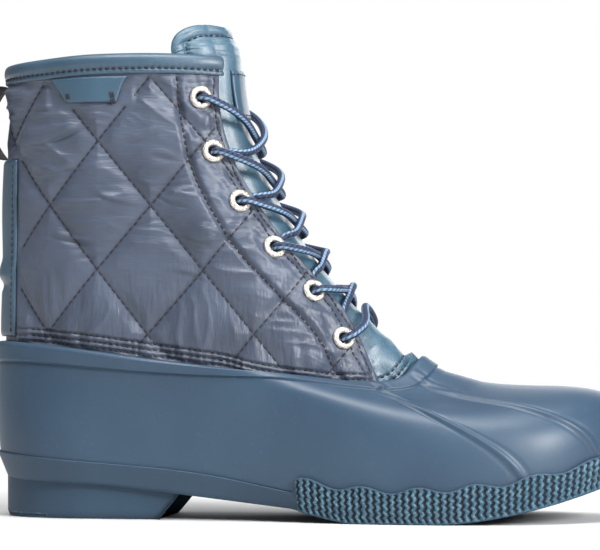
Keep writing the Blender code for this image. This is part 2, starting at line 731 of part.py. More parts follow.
def make_patch(name, face, shares, reaches, middle, lift, thick, material, columns=8):
    """A strip laid on a face: half as wide as its reach to each side of its middle at every height."""
    outer = []
    inner = []
    for share, reach in zip(shares, reaches):
        places = middle + np.linspace(-reach, reach, columns + 1)
        inner.append(offset(face, places, share, np.full_like(places, lift)))
        outer.append(offset(face, places, share, np.full_like(places, lift + thick)))
    return make_sheet(name, np.array(outer), np.array(inner), material)


def make_backstay():
    shares = np.linspace(STAY_FOOT, STAY_TOP, 7)
    reaches = [place_beside_heel(share, STAY_WIDTH / 2) for share in shares]
    return make_patch("backstay", shaft_face, shares, reaches, 0.0, 2 * GAP, STAY_THICK, LEATHER)


def make_pull_loop():
    """Webbing from the collar binding down the back to the top of the backstay, bowed off the shaft."""
    drop = np.linspace(0.0, 1.0, 11)
    share = 1 - (LOOP_LENGTH * drop + BINDING_HEIGHT + 2 * GAP) / (COLLAR_HEIGHT - RIM_HEIGHT)
    back = shaft_face(np.zeros_like(drop), share)
    away = LOOP_SEAT + LOOP_BOW * np.sin(math.pi * drop) ** 0.8
    columns = np.linspace(-LOOP_WIDTH / 2, LOOP_WIDTH / 2, 3)
    inner = np.array([[(x, y, z) for y in columns] for x, z in zip(back[:, 0] - away, back[:, 2])])
    outer = inner - np.array((LOOP_THICK, 0.0, 0.0))
    return make_sheet("pull_loop", outer, inner, WEBBING)


def make_side_label():
    top = float(binding_share(np.array(SIDE_LABEL_PLACE))) - SIDE_LABEL_DROP / (COLLAR_HEIGHT - RIM_HEIGHT)
    shares = top - np.linspace(0.0, SIDE_LABEL_HEIGHT, 3) / (COLLAR_HEIGHT - RIM_HEIGHT)
    pace = pace_at(shaft_face, SIDE_LABEL_PLACE, top)
    reaches = np.linspace(SIDE_LABEL_TOP, SIDE_LABEL_FOOT, 3) / 2 / pace
    return make_patch(
        "side_label", shaft_face, shares, reaches, -SIDE_LABEL_PLACE, 2 * GAP, LABEL_THICK, LEATHER,
    )


# Tongue
def make_tongue():
    across = TONGUE_REACH * np.sin(np.linspace(-math.pi / 2, math.pi / 2, TONGUE_COLUMNS + 1))
    outer = [tongue_face(across, share) for share in TONGUE_ROWS]
    inner = [offset(tongue_face, across, share, np.full_like(across, -TONGUE_THICK)) for share in TONGUE_ROWS]
    return make_sheet("tongue", np.array(outer), np.array(inner), LEATHER)


def make_tongue_label():
    shares = 1 - (np.linspace(0.0, TONGUE_LABEL_HEIGHT, 4) + TONGUE_LABEL_DROP) / (COLLAR_HEIGHT - RIM_HEIGHT)
    reaches = [TONGUE_LABEL_WIDTH / 2 / pace_at(tongue_face, 0.0, share) for share in shares]
    return make_patch("tongue_label", tongue_face, shares, reaches, 0.0, LABEL_LIFT, LABEL_THICK, LEATHER, 6)


# Eyelets
def eyelet_spot(index, side):
    """Height share and signed place of one eyelet."""
    share = share_at_depth(EYELET_FIRST + EYELET_PITCH * index)
    return share, side * place_inward(share, EYELET_INSET)


def eyelet_frame(index, side):
    """A matrix with its Z axis out of the shaft at one eyelet."""
    share, place = eyelet_spot(index, side)
    point = Vector(shaft_face(place, share))
    out = Vector(offset(shaft_face, place, share, 1.0)) - point
    turn = out.normalized().to_track_quat("Z", "Y")
    return Matrix.LocRotScale(point, turn, None)


def make_eyelet_mesh():
    """Half a section through the ring: a domed flange over a barrel that passes the wall."""
    low, high = EYELET_LIFT, EYELET_LIFT + EYELET_FLANGE
    foot = -UPPER_WALL + GAP
    profile = (
        (EYELET_HOLE, high - EYELET_EASE), (EYELET_HOLE + EYELET_EASE, high), (EYELET_RADIUS - EYELET_EASE, high),
        (EYELET_RADIUS, low), (EYELET_BARREL - GAP, low), (EYELET_BARREL - GAP, foot), (EYELET_HOLE, foot),
    )
    mesh = bpy.data.meshes.new("eyelet")
    points = [(radius, 0.0, height) for radius, height in profile]
    mesh.from_pydata(points, [(i, (i + 1) % len(points)) for i in range(len(points))], [])
    mesh.materials.append(METAL)
    return mesh


def make_eyelets():
    mesh = make_eyelet_mesh()
    for side, side_name in ((-1, "lateral"), (1, "medial")):
        for index in range(EYELETS):
            frame = eyelet_frame(index, side)
            ring = bpy.data.objects.new(f"eyelet_{side_name}_{index + 1}", mesh)
            boot.objects.link(ring)
            ring.matrix_world = frame
            turn = ring.modifiers.new("turn", "SCREW")
            turn.steps = turn.render_steps = ROUND_STEPS
            turn.use_merge_vertices = True
            turn.merge_threshold = 0.00005
            turn.use_smooth_shade = True
            shape = bmesh.new()
            bmesh.ops.create_cone(
                shape, cap_ends=True, segments=ROUND_STEPS, radius1=EYELET_BARREL, radius2=EYELET_BARREL,
                depth=HOLE_DEPTH,
            )
            hole = finish_mesh(f"hole_{side_name}_{index + 1}", shape, METAL, holes)
            hole.matrix_world = frame


# Lace
def make_cord(name, route):
    """A round cord through a short route, made a closed mesh."""
    route = np.array(route)
    run = length_along(route)
    at = np.linspace(0.0, run[-1], CORD_STEPS + 1)
    points = np.stack([spline(run, route[:, axis], at) for axis in range(3)], -1)
    curve = bpy.data.curves.new(name, "CURVE")
    curve.dimensions = "3D"
    curve.bevel_depth = LACE_RADIUS
    curve.bevel_resolution = 2
    curve.use_fill_caps = True
    line = curve.splines.new("POLY")
    line.points.add(len(points) - 1)
    for point, spot in zip(line.points, points):
        point.co = (*spot, 1.0)
    guide = bpy.data.objects.new(name + "_guide", curve)
    boot.objects.link(guide)
    settled = guide.evaluated_get(bpy.context.evaluated_depsgraph_get())
    mesh = bpy.data.meshes.new_from_object(settled)
    shape = bmesh.new()
    shape.from_mesh(mesh)
    bmesh.ops.remove_doubles(shape, verts=shape.verts, dist=0.00001)
    bpy.data.objects.remove(guide)
    bpy.data.meshes.remove(mesh)
    return finish_mesh(name, shape, CORD)


def strand_route(index, side, above):
    """From over one eyelet, across the tongue and down to the far edge, above the next eyelet."""
    share, place = eyelet_spot(index, side)
    fall = TAIL_FALL - TAIL_STEP * index
    far_share = share_at_depth(EYELET_FIRST + EYELET_PITCH * (index + fall))
    drop = share - far_share
    far_edge = float(edge_around(far_share))
    lift = LACE_RADIUS * (LIFT_ABOVE if above else LIFT_BELOW)
    legs = (
        (place, HOVER), (side * float(edge_around(share)), OVER_EDGE), (side * NEAR_MIDDLE, lift), (1.0, lift),
        (-side * (far_edge + 2 * TAIL_HIDE), TAIL_SETTLE), (-side * (far_edge + TAIL_HIDE), UNDER_EDGE),
    )
    return [offset(shaft_face, at, share - drop * part, away) for part, (at, away) in zip(STRAND_FALL, legs)]


def make_laces():
    for index in range(EYELETS - 1):
        below = make_cord(f"lace_crossing_{index + 1}", strand_route(index, -1, False))
        above = make_cord(f"lace_above_{index + 1}", strand_route(index, 1, True))
        boot.objects.unlink(above)
        cutters.objects.link(above)
        cut_body(below, above, "UNION")
    share, place = eyelet_spot(EYELETS - 1, 1)
    high = share + BAR_RISE
    edge = float(edge_around(high))
    make_cord("lace_bar", (
        offset(shaft_face, -place, share, HOVER),
        offset(shaft_face, -edge, share + BAR_RISE / 3, OVER_EDGE),
        offset(shaft_face, 1.0, high, LACE_RADIUS + LACE_CLEAR),
        offset(shaft_face, edge, share + BAR_RISE / 3, OVER_EDGE),
        offset(shaft_face, place, share, HOVER),
    ))


make_laces()
make_shell()
make_insole()
make_tongue()
make_binding()
make_backstay()
make_pull_loop()
make_side_label()
make_tongue_label()
make_eyelets()
make_upper()
make_outsole()
for group in (cutters, holes):
    for helper in group.objects:
        helper.hide_render = True
        helper.display_type = "WIRE"
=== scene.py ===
# Looks of a lace-up duck boot for a right foot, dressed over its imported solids.
# Metres, +Z up, +X toward the toe, -Y the outer side.
import functools
import math

import bmesh
import bpy
import numpy as np
from mathutils import Matrix, Vector


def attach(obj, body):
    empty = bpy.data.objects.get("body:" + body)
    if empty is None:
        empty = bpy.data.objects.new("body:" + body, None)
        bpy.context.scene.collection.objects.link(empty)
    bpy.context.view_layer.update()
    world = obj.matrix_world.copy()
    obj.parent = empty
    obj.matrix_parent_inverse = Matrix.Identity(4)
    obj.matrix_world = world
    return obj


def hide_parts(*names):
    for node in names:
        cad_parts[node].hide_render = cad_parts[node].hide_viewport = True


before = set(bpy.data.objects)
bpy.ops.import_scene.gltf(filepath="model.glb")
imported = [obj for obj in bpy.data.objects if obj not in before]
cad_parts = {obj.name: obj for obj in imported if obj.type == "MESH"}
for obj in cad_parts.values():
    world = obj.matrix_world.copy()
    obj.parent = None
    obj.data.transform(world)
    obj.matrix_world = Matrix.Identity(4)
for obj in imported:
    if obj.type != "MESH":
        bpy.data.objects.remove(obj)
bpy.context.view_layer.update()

# Driving sizes
SOLE_LENGTH = 0.291
SOLE_BACK = 0.0415
BALL_WIDTH = 0.105
HEEL_LEDGE = 0.0294
RIM_LENGTH = 0.1975
RIM_BACK = 0.0425
RIM_WIDTH = 0.082
RIM_HEIGHT = 0.0803
COLLAR_LENGTH = 0.110
COLLAR_BACK = 0.038
COLLAR_WIDTH = 0.068
COLLAR_HEIGHT = 0.2108
SHAFT_HEIGHT = COLLAR_HEIGHT - RIM_HEIGHT
SHELL_WALL = 0.0028
UPPER_WALL = 0.0030
GAP = 0.0003
TUCK_GAP = 0.0006

# Rubber shell
BAND_HEIGHT = 0.0080
BAND_PROUD = 0.0011
BEAD_HEIGHT = 0.0011
TUCK_DEPTH = 0.005
TUCK_TURN = math.radians(15)
SHOULDER_TURN = math.radians(35)
SHOULDER_AROUND = 0.62
SHOULDER_REACH = 0.045

# Outsole
SPRING_RISE = 0.0195
SPRING_START = 0.165
SPRING_POWER = 1.75
CUP_START = 0.103
CUP_RISE = 0.0078
WAVE_RISE = 0.0015
WAVE_LENGTH = 0.025
CUP_WALL = 0.0020
LEDGE_WALL = 0.0010
LEDGE_RISE = 0.0008
WALL_TUCK = 0.0015
LOW_TUCK = 0.8
LOW_RISE = 0.0015
LEDGE_TUCK = 0.0050
HEEL_BACK = 0.0383
HEEL_FRONT = 0.0374
HEEL_WIDTH = 0.062
HEEL_SINK = 0.0015
HEEL_BEVEL = 0.0012
HEEL_AROUND = 0.42
BREAST_LEAN = 0.0114
BREAST_HEIGHT = 0.0136
LUG_DEPTH = 0.0020
LUG_GROOVE = 0.0026
LUG_PITCH = 0.0125
LUG_SWAY = 0.0030
LUG_EDGE = 0.0070
LUG_FOLD = 0.0100

# Insole
INSOLE_THICK = 0.0035
INSOLE_CLEAR = 0.0014
INSOLE_SHARE = 0.02
INSOLE_HEEL = 0.06
INSOLE_TOE = 0.96

# Tongue
TONGUE_THICK = 0.0030
TONGUE_RISE = 0.0178
TONGUE_LEAN = 0.0060
TONGUE_SINK = 0.0014
TONGUE_WING = 0.14
TONGUE_DIP = 0.14
TONGUE_FALL = 0.30
TONGUE_UNDER = 0.88

# Leather trims
BINDING_HEIGHT = 0.0080
BINDING_THICK = 0.0010
STAY_WIDTH = 0.036
STAY_THICK = 0.0011
STAY_FOOT = 0.02
STAY_TOP = 0.66
LOOP_WIDTH = 0.020
LOOP_THICK = 0.0016
LOOP_BOW = 0.0080
LOOP_LENGTH = 0.035
LOOP_SEAT = 0.0009
SIDE_LABEL_TOP = 0.0370
SIDE_LABEL_FOOT = 0.0235
SIDE_LABEL_HEIGHT = 0.0110
SIDE_LABEL_PLACE = 0.375
SIDE_LABEL_DROP = 0.0008
LABEL_THICK = 0.0008
TONGUE_LABEL_WIDTH = 0.026
TONGUE_LABEL_HEIGHT = 0.018
TONGUE_LABEL_DROP = 0.0035

# Eyelets and lace
EYELETS = 6
EYELET_INSET = 0.0085
EYELET_PITCH = 0.0257
EYELET_FIRST = 0.0190
EYELET_BARREL = 0.0032
EYELET_FLANGE = 0.0012
EYELET_LIFT = 0.0006
LACE_RADIUS = 0.0018
TAIL_FALL = 0.95
TAIL_STEP = 0.145
LACE_CLEAR = 0.0006
BAR_RISE = 0.05
TAIL_HIDE = 0.055
TAIL_SETTLE = 0.0011
HOVER = EYELET_LIFT + EYELET_FLANGE + LACE_RADIUS + LACE_CLEAR
OVER_EDGE = HOVER - 0.0002
UNDER_EDGE = LACE_RADIUS + LACE_CLEAR + 0.0004 - UPPER_WALL

# Places around one half of the boot, from heel to toe.
STATIONS = (0.00, 0.10, 0.22, 0.36, 0.50, 0.64, 0.78, 0.92, 1.00)

# Foot of the shell: share of SOLE_LENGTH, half width and shift of the middle as shares of BALL_WIDTH.
BASE_ALONG = (0.000, 0.060, 0.190, 0.345, 0.500, 0.665, 0.843, 0.966, 1.000)
BASE_HALF = (0.000, 0.255, 0.325, 0.330, 0.385, 0.480, 0.455, 0.235, 0.000)
BASE_MIDDLE = (0.000, 0.000, 0.000, -0.020, -0.030, -0.015, 0.010, 0.050, 0.060)

# Height of the seam between shell and sole: share of SOLE_LENGTH, share of HEEL_LEDGE.
SEAM_ALONG = (0.00, 0.184, 0.335, 0.40, 0.497, 0.579, 0.71, 0.84, 0.93, 1.00)
SEAM_HEIGHT = (1.00, 0.854, 0.718, 0.612, 0.425, 0.306, 0.289, 0.435, 0.663, 0.867)

# Underside of the sole behind its flat forefoot: share of SOLE_LENGTH, share of BREAST_HEIGHT.
ARCH_ALONG = (0.00, 0.184, 0.335, 0.41, 0.487, 0.54, 0.579)
ARCH_HEIGHT = (1.32, 1.15, 0.80, 0.62, 0.44, 0.16, 0.00)

# Rim of the shell: shares of RIM_LENGTH, RIM_WIDTH and RIM_HEIGHT.
RIM_ALONG = (0.000, 0.055, 0.210, 0.380, 0.540, 0.700, 0.905, 0.985, 1.000)
RIM_HALF = (0.000, 0.243, 0.423, 0.481, 0.500, 0.481, 0.314, 0.141, 0.000)
RIM_UP = (1.000, 1.000, 0.964, 0.912, 0.870, 0.828, 0.782, 0.865, 0.922)

# Shell section from seam to rim: handles as shares of the rise, BALL_WIDTH, the run and the rise.
SHELL_UP = (0.33, 0.33, 0.33, 0.36, 0.48, 0.72, 0.95, 1.15, 1.21)
SHELL_OUT = (0.020, 0.020, 0.020, 0.030, 0.040, 0.040, 0.050, 0.100, 0.120)
SHELL_REACH = (0.50, 0.50, 0.60, 0.60, 0.66, 0.62, 0.50, 0.40, 0.37)
SHELL_DROP = (0.33, 0.33, 0.33, 0.30, 0.25, 0.22, 0.36, 0.52, 0.62)

# Collar: shares of COLLAR_LENGTH, COLLAR_WIDTH and COLLAR_HEIGHT.
COLLAR_ALONG = (0.000, 0.060, 0.200, 0.370, 0.550, 0.740, 0.925, 0.990, 1.000)
COLLAR_HALF = (0.000, 0.215, 0.390, 0.485, 0.500, 0.460, 0.330, 0.140, 0.000)
COLLAR_UP = (0.981, 0.984, 0.990, 0.997, 1.000, 1.000, 0.996, 0.994, 0.994)

# Shaft section between rim and collar: handles as shares of the run and rise, and the waist of COLLAR_WIDTH.
SHAFT_LEAN_LOW = (0.00, 0.00, 0.10, 0.18, 0.24, 0.28, 0.34, 0.48, 0.53)
SHAFT_RISE_LOW = (0.33, 0.33, 0.33, 0.33, 0.33, 0.32, 0.31, 0.28, 0.27)
SHAFT_LEAN_HIGH = (0.00, 0.00, 0.05, 0.08, 0.06, 0.04, 0.00, 0.00, 0.00)
SHAFT_RISE_HIGH = (0.33, 0.33, 0.33, 0.33, 0.33, 0.34, 0.36, 0.39, 0.40)
SHAFT_WAIST = (0.000, 0.005, 0.020, 0.020, 0.010, -0.020, -0.030, -0.010, 0.000)

# Front edge of the quilted shaft: height as a share of the shaft, place around the half.
EDGE_UP = (-1.00, 0.00, 0.13, 0.25, 0.38, 0.50, 0.75, 0.88, 1.00)
EDGE_AROUND = (0.800, 0.795, 0.815, 0.840, 0.805, 0.775, 0.752, 0.765, 0.790)

# Raised beads of the shell: height as a share of its section, places around the half.
BEAD_UP = (0.00, 0.10, 0.34, 0.58, 0.83, 1.00)
BEAD_SIDE = (0.795, 0.777, 0.736, 0.725, 0.750, 0.778)
BEAD_TOE = (0.912, 0.897, 0.860, 0.855, 0.871, 0.905)

TONGUE_REACH = 0.998
UP = np.array((0.0, 0.0, 1.0))
FLAT = np.array((1.0, 1.0, 0.0))


@functools.lru_cache(maxsize=None)
def spline_table(knots, values):
    """The natural cubic spline through the values, worked out at fine steps."""
    knots, values = np.asarray(knots), np.asarray(values)
    step = np.diff(knots)
    slope = np.diff(values) / step
    matrix = np.eye(len(knots))
    right = np.zeros(len(knots))
    for i in range(1, len(knots) - 1):
        matrix[i, i - 1:i + 2] = step[i - 1], 2 * (step[i - 1] + step[i]), step[i]
        right[i] = 6 * (slope[i] - slope[i - 1])
    bend = np.linalg.solve(matrix, right)
    at = np.linspace(knots[0] - 0.05, knots[-1] + 0.05, 8001)
    i = np.clip(np.searchsorted(knots, at) - 1, 0, len(knots) - 2)
    a = (knots[i + 1] - at) / step[i]
    b = (at - knots[i]) / step[i]
    curve = (a**3 - a) * bend[i] + (b**3 - b) * bend[i + 1]
    return at, a * values[i] + b * values[i + 1] + curve * step[i] ** 2 / 6


def spline(knots, values, at):
    """Natural cubic spline through the values, read from a fine table."""
    return np.interp(at, *spline_table(tuple(knots), tuple(values)))


@functools.lru_cache(maxsize=None)
def mirrored(column, sign):
    """A column of a station table carried on past heel and toe."""
    before = [(-place, sign * item) for place, item in zip(STATIONS[4:0:-1], column[4:0:-1])]
    beyond = [(2 - place, sign * item) for place, item in zip(STATIONS[-2:3:-1], column[-2:3:-1])]
    return tuple(zip(*before, *zip(STATIONS, column), *beyond))


def around(column, place, odd=False):
    """A column of a station table at a signed place, minus on the outer side, mirrored past heel and toe."""
    read = spline(*mirrored(column, -1.0 if odd else 1.0), np.abs(place))
    return np.sign(place) * read if odd else read


def unit(ways):
    return ways / np.linalg.norm(ways, axis=-1, keepdims=True)


def paired(place, share):
    """Place and share as arrays of one shape."""
    return np.broadcast_arrays(np.asarray(place, float), np.asarray(share, float))


def smooth_step(low, high, at):
    share = np.clip((np.asarray(at) - low) / (high - low), 0.0, 1.0)
    return share * share * (3 - 2 * share)


def bezier(start, first, second, end, share):
    t = np.asarray(share)[..., None]
    return start * (1 - t) ** 3 + 3 * first * t * (1 - t) ** 2 + 3 * second * t**2 * (1 - t) + end * t**3


def seam_height(x):
    return spline(SEAM_ALONG, SEAM_HEIGHT, (x + SOLE_BACK) / SOLE_LENGTH) * HEEL_LEDGE


def under_height(x):
    """Height of the sole's underside without its heel block."""
    share = (x + SOLE_BACK) / SOLE_LENGTH
    arch = np.interp(share, ARCH_ALONG, ARCH_HEIGHT) * BREAST_HEIGHT
    tip = SOLE_LENGTH - SOLE_BACK
    spring = np.clip((x - SPRING_START) / (tip - SPRING_START), 0.0, None) ** SPRING_POWER * SPRING_RISE
    return arch + spring


def base_loop(place):
    x = around(BASE_ALONG, place) * SOLE_LENGTH - SOLE_BACK
    y = (around(BASE_HALF, place, True) + around(BASE_MIDDLE, place)) * BALL_WIDTH
    return np.stack([x, y, seam_height(x)], -1)


def rim_loop(place):
    x = around(RIM_ALONG, place) * RIM_LENGTH - RIM_BACK
    y = around(RIM_HALF, place, True) * RIM_WIDTH
    return np.stack([x, y, around(RIM_UP, place) * RIM_HEIGHT], -1)


def collar_loop(place):
    x = around(COLLAR_ALONG, place) * COLLAR_LENGTH - COLLAR_BACK
    y = around(COLLAR_HALF, place, True) * COLLAR_WIDTH
    return np.stack([x, y, around(COLLAR_UP, place) * COLLAR_HEIGHT], -1)


def plan_normal(loop, place, step=1e-3):
    """Level direction pointing out of a closed loop."""
    along = loop(place + step) - loop(place - step)
    out = np.stack([-along[..., 1], along[..., 0], 0 * along[..., 0]], -1)
    return unit(out)


def shell_face(place, share):
    """Outer face of the rubber shell: share 0 at the seam, 1 at the rim."""
    place, share = paired(place, share)
    base, rim = base_loop(place), rim_loop(place)
    rise = (rim - base)[..., 2:]
    run = (base - rim) * FLAT
    rows = (SHELL_UP, SHELL_OUT, SHELL_REACH, SHELL_DROP)
    up, out, reach, drop = (around(row, place)[..., None] for row in rows)
    first = base + UP * up * rise + plan_normal(base_loop, place) * out * BALL_WIDTH
    second = rim + run * reach - UP * drop * rise
    return bezier(base, first, second, rim, share)


def offset(face, place, share, distance, step=1e-4):
    """A point of a face moved out along the face's own normal."""
    place, share = paired(place, share)
    along = face(place + step, share) - face(place - step, share)
    rising = face(place, share + step) - face(place, share - step)
    return face(place, share) + unit(np.cross(rising, along)) * np.asarray(distance)[..., None]


def foot_worked_out(place, step=1e-4):
    """Where the shaft leaves the shell's rim, and the way down from there, clear of the shell's inside."""
    rim = shell_face(place, 1.0)
    along = shell_face(place + step, 1.0) - shell_face(place - step, 1.0)
    out = unit(np.cross(rim - shell_face(place, 1.0 - step), along))
    down = unit(np.cross(out, along))
    shoulder = np.exp(-((np.abs(place) - SHOULDER_AROUND) / SHOULDER_REACH) ** 2)[..., None]
    turn = TUCK_TURN + SHOULDER_TURN * shoulder
    down = down * np.cos(turn) - out * np.sin(turn)
    return rim - out * (SHELL_WALL + TUCK_GAP), down


FOOT_PLACES = np.linspace(-1.25, 1.25, 6251)
FOOT_TABLE = np.concatenate(foot_worked_out(FOOT_PLACES), -1).T


def shell_foot(place):
    """The worked-out foot, read from a fine table."""
    read = np.stack([np.interp(place, FOOT_PLACES, column) for column in FOOT_TABLE], -1)
    return read[..., :3], read[..., 3:]


def shaft_face(place, share):
    """Outer face of the shaft: 0 at the rim, 1 at the collar, below 0 tucked behind the shell."""
    place, share = paired(place, share)
    foot, down = shell_foot(place)
    tucked = foot + down * TUCK_DEPTH * np.maximum(-share, 0)[..., None]
    top = collar_loop(place)
    rise = (top - foot)[..., 2:]
    run = (top - foot) * FLAT
    rows = (SHAFT_LEAN_LOW, SHAFT_RISE_LOW, SHAFT_LEAN_HIGH, SHAFT_RISE_HIGH, SHAFT_WAIST)
    lean_low, rise_low, lean_high, rise_high, waist = (around(row, place)[..., None] for row in rows)
    pinch = plan_normal(collar_loop, place) * waist * COLLAR_WIDTH
    first = foot + run * lean_low + UP * rise_low * rise - pinch
    second = top - run * lean_high - UP * rise_high * rise - pinch
    above = bezier(foot, first, second, top, np.maximum(share, 0))
    return np.where((share < 0)[..., None], tucked, above)


def tongue_face(across, share):
    """Outer face of the tongue: across -1 to 1, share 0 at the rim, 1 at the collar, 2 at its top."""
    across, share = paired(across, share)
    low = np.minimum(share, 1.0)
    width = 1 - edge_around(low) + TONGUE_WING
    place = np.where(across < 0, 1.0, -1.0) * (1 - width * np.abs(across))
    covered = (1 - edge_around(low)) / width
    cover = UPPER_WALL + BINDING_THICK + GAP + TUCK_GAP
    sunk = smooth_step(TONGUE_FALL, TONGUE_UNDER, np.abs(across) / covered) * cover + TONGUE_SINK
    body = offset(shaft_face, place, low, -sunk)
    over = np.maximum(share - 1, 0)
    dome = (1 - across**4) ** 0.5 * (1 - TONGUE_DIP * (1 - across**2) ** 2)
    rise = UP * (TONGUE_RISE * dome * over)[..., None]
    lean = np.array((1.0, 0.0, 0.0)) * (TONGUE_LEAN * dome * over**1.5)[..., None]
    return body + rise - lean


def edge_around(share):
    return spline(EDGE_UP, EDGE_AROUND, share)


def pace_over(face, place, share, step=1e-3):
    """Length of a face per unit of place, at many spots."""
    return np.linalg.norm(face(place + step, share) - face(place - step, share), axis=-1) / (2 * step)


def rise_over(face, place, share, step=1e-3):
    """Length of a face per unit of share, at many spots."""
    return np.linalg.norm(face(place, share) - face(place, share - step), axis=-1) / step


def length_along(points):
    """Running length of a line of points."""
    steps = np.linalg.norm(np.diff(points, axis=0), axis=1)
    return np.concatenate([[0.0], np.cumsum(steps)])


def share_at_depth(depth):
    """Height share of the shaft at a depth under the collar, measured down the front edge."""
    shares = np.linspace(1.0, 0.0, 101)
    run = length_along(shaft_face(edge_around(shares), shares))
    return float(np.interp(depth, run, shares))


def place_inward(share, distance):
    """Place around the half that lies a distance behind the shaft's front edge."""
    places = np.linspace(float(edge_around(share)), 0.3, 101)
    run = length_along(shaft_face(places, share))
    return float(np.interp(distance, run, places))


def place_beside_heel(share, distance):
    """Place around the half that lies a distance from the back seam."""
    places = np.linspace(0.0, 0.5, 101)
    run = length_along(shaft_face(places, share))
    return float(np.interp(distance, run, places))


def binding_share(place):
    """Height share at the lower edge of the collar binding."""
    return 1 - BINDING_HEIGHT / rise_over(shaft_face, place, 1.0)


@functools.lru_cache(maxsize=None)
def eyelet_spot(index, side):
    """Height share and signed place of one eyelet."""
    share = share_at_depth(EYELET_FIRST + EYELET_PITCH * index)
    return share, side * place_inward(share, EYELET_INSET)


def eyelet_frame(index, side):
    """A matrix with its Z axis out of the shaft at one eyelet."""
    share, place = eyelet_spot(index, side)
    point = Vector(shaft_face(place, share))
    out = Vector(offset(shaft_face, place, share, 1.0)) - point
    turn = out.normalized().to_track_quat("Z", "Y")
    return Matrix.LocRotScale(point, turn, None)


# Sizes of what only shows
BEAD_SOFT = 0.0023
BAND_STEP = 0.0007
QUILT_PITCH = 0.0500
QUILT_RISE = 0.0584
QUILT_START = 0.0874
QUILT_LEVEL = 0.1433
PUFF = 0.0027
PUFF_SINK = 0.0013
PUFF_REACH = 0.0085
STAY_TROUGH = 0.0014
STITCH_GAP = 0.0034
STITCH_RADIUS = 0.00043
RIB_SPACING = 0.0033
RIB_WIGGLES = 4.5
RIB_SWAY = 0.16
RIB_DEPTH = 0.00104
EDGE_ROWS = (0.0022, 0.0056)
BAND_ROWS = (0.0012, 0.0040, 0.0068)
VAMP_ROWS = (0.0008, 0.0030, 0.0058)
TONGUE_HALF = 0.034
TONGUE_LENGTH = 0.148
ROLL_ROW = 0.0047

# Stitched seam between the quilting and the lace stay: height share of the shaft, place around the half.
SEAM_UP = (0.00, 0.125, 0.25, 0.375, 0.50, 0.625, 0.75, 0.875, 1.00)
SEAM_AROUND = (0.730, 0.728, 0.708, 0.669, 0.645, 0.633, 0.639, 0.650, 0.657)

# Creases of the shaft, listed one by one: signed place and height share at each end, depth and half width.
CREASES = (
    (-0.15, 0.70, -0.37, 0.79, 0.0012, 0.0014),
    (-0.50, 0.66, -0.62, 0.69, 0.0007, 0.0016),
    (-0.42, 0.72, -0.60, 0.76, 0.0006, 0.0015),
    (-0.30, 0.55, -0.44, 0.51, 0.0008, 0.0016),
    (-0.17, 0.60, -0.30, 0.61, 0.0006, 0.0014),
    (-0.36, 0.44, -0.52, 0.47, 0.0006, 0.0018),
    (-0.16, 0.40, -0.31, 0.37, 0.0009, 0.0016),
    (-0.20, 0.30, -0.33, 0.33, 0.0006, 0.0016),
    (-0.48, 0.55, -0.60, 0.53, 0.0006, 0.0014),
    (-0.44, 0.30, -0.56, 0.27, 0.0005, 0.0016),
    (0.18, 0.72, 0.40, 0.76, 0.0009, 0.0015),
    (0.30, 0.50, 0.52, 0.54, 0.0007, 0.0016),
    (0.16, 0.38, 0.34, 0.35, 0.0008, 0.0016),
    (0.42, 0.64, 0.60, 0.61, 0.0006, 0.0015),
)

# Folds of quilting and tongue: height, size of a fold both ways, pull of the slow wave both ways, seed.
LEVEL_FOLDS = (0.00125, 0.034, 0.0088, 0.6, 1.5, 5)
SMALL_FOLDS = (0.00060, 0.017, 0.0041, 1.0, 2.0, 9)
RIM_GATHERS = (0.00140, 0.0058, 0.034, 1.5, 0.0, 7)
SEAM_PULLS = (0.00150, 0.0060, 0.034, 2.0, 0.0, 13)
COLLAR_TUGS = (0.00045, 0.0064, 0.020, 1.0, 0.0, 19)
STAY_BULGES = (0.00080, 0.0095, 0.040, 0.8, 0.0, 25)
TONGUE_FOLDS = (0.0010, 1 / 2.2, 1 / 22, 1.0, 1.6, 23)


def plain_noise(u, v, seed):
    """Smooth value noise from 0 to 1 over a lattice of unit cells."""
    column, row = np.floor(u), np.floor(v)
    across, up = u - column, v - row
    across = across * across * (3 - 2 * across)
    up = up * up * (3 - 2 * up)

    def corner(i, j):
        wave = np.sin(i * 127.1 + j * 311.7 + seed * 74.7) * 43758.5453
        return wave - np.floor(wave)

    low = corner(column, row) * (1 - across) + corner(column + 1, row) * across
    high = corner(column, row + 1) * (1 - across) + corner(column + 1, row + 1) * across
    return low * (1 - up) + high * up


def ridge(u, v, seed):
    """Sharp-crested noise from 0 to 1."""
    return 1 - np.abs(2 * plain_noise(u, v, seed) - 1)


def folds(layer, u, v, wave):
    """One layer of folds, leaning with a slow wave."""
    height, wide, high, lean, sway, seed = layer
    return height * ridge(u / wide + lean * wave, v / high + sway * wave, seed) ** 2


def hump(distance, reach):
    """A soft bump, 1 in the middle and 0 at its reach."""
    share = np.clip(np.abs(distance) / reach, 0.0, 1.0)
    return (1 - share * share) ** 2


# Arc length round the shaft from its back seam, tabled over places and height shares.
ARC_PLACES = np.linspace(0.0, 0.92, 93)
ARC_SHARES = np.linspace(0.0, 1.0, 41)
ARC_TABLE = np.array([length_along(shaft_face(ARC_PLACES, share)) for share in ARC_SHARES])


def arc_at(place, share):
    i = np.clip(np.abs(place) / ARC_PLACES[1], 0, len(ARC_PLACES) - 1.001)
    j = np.clip(share / ARC_SHARES[1], 0, len(ARC_SHARES) - 1.001)
    i0, j0 = i.astype(int), j.astype(int)
    i, j = i - i0, j - j0
    low = ARC_TABLE[j0, i0] * (1 - i) + ARC_TABLE[j0, i0 + 1] * i
    high = ARC_TABLE[j0 + 1, i0] * (1 - i) + ARC_TABLE[j0 + 1, i0 + 1] * i
    return low * (1 - j) + high * j


def quilt_count(arc, height, lean):
    """Running number of the quilting lines that lean one way; a line lies at each whole number."""
    return (arc - QUILT_START) / QUILT_PITCH + lean * (height - QUILT_LEVEL) / QUILT_RISE


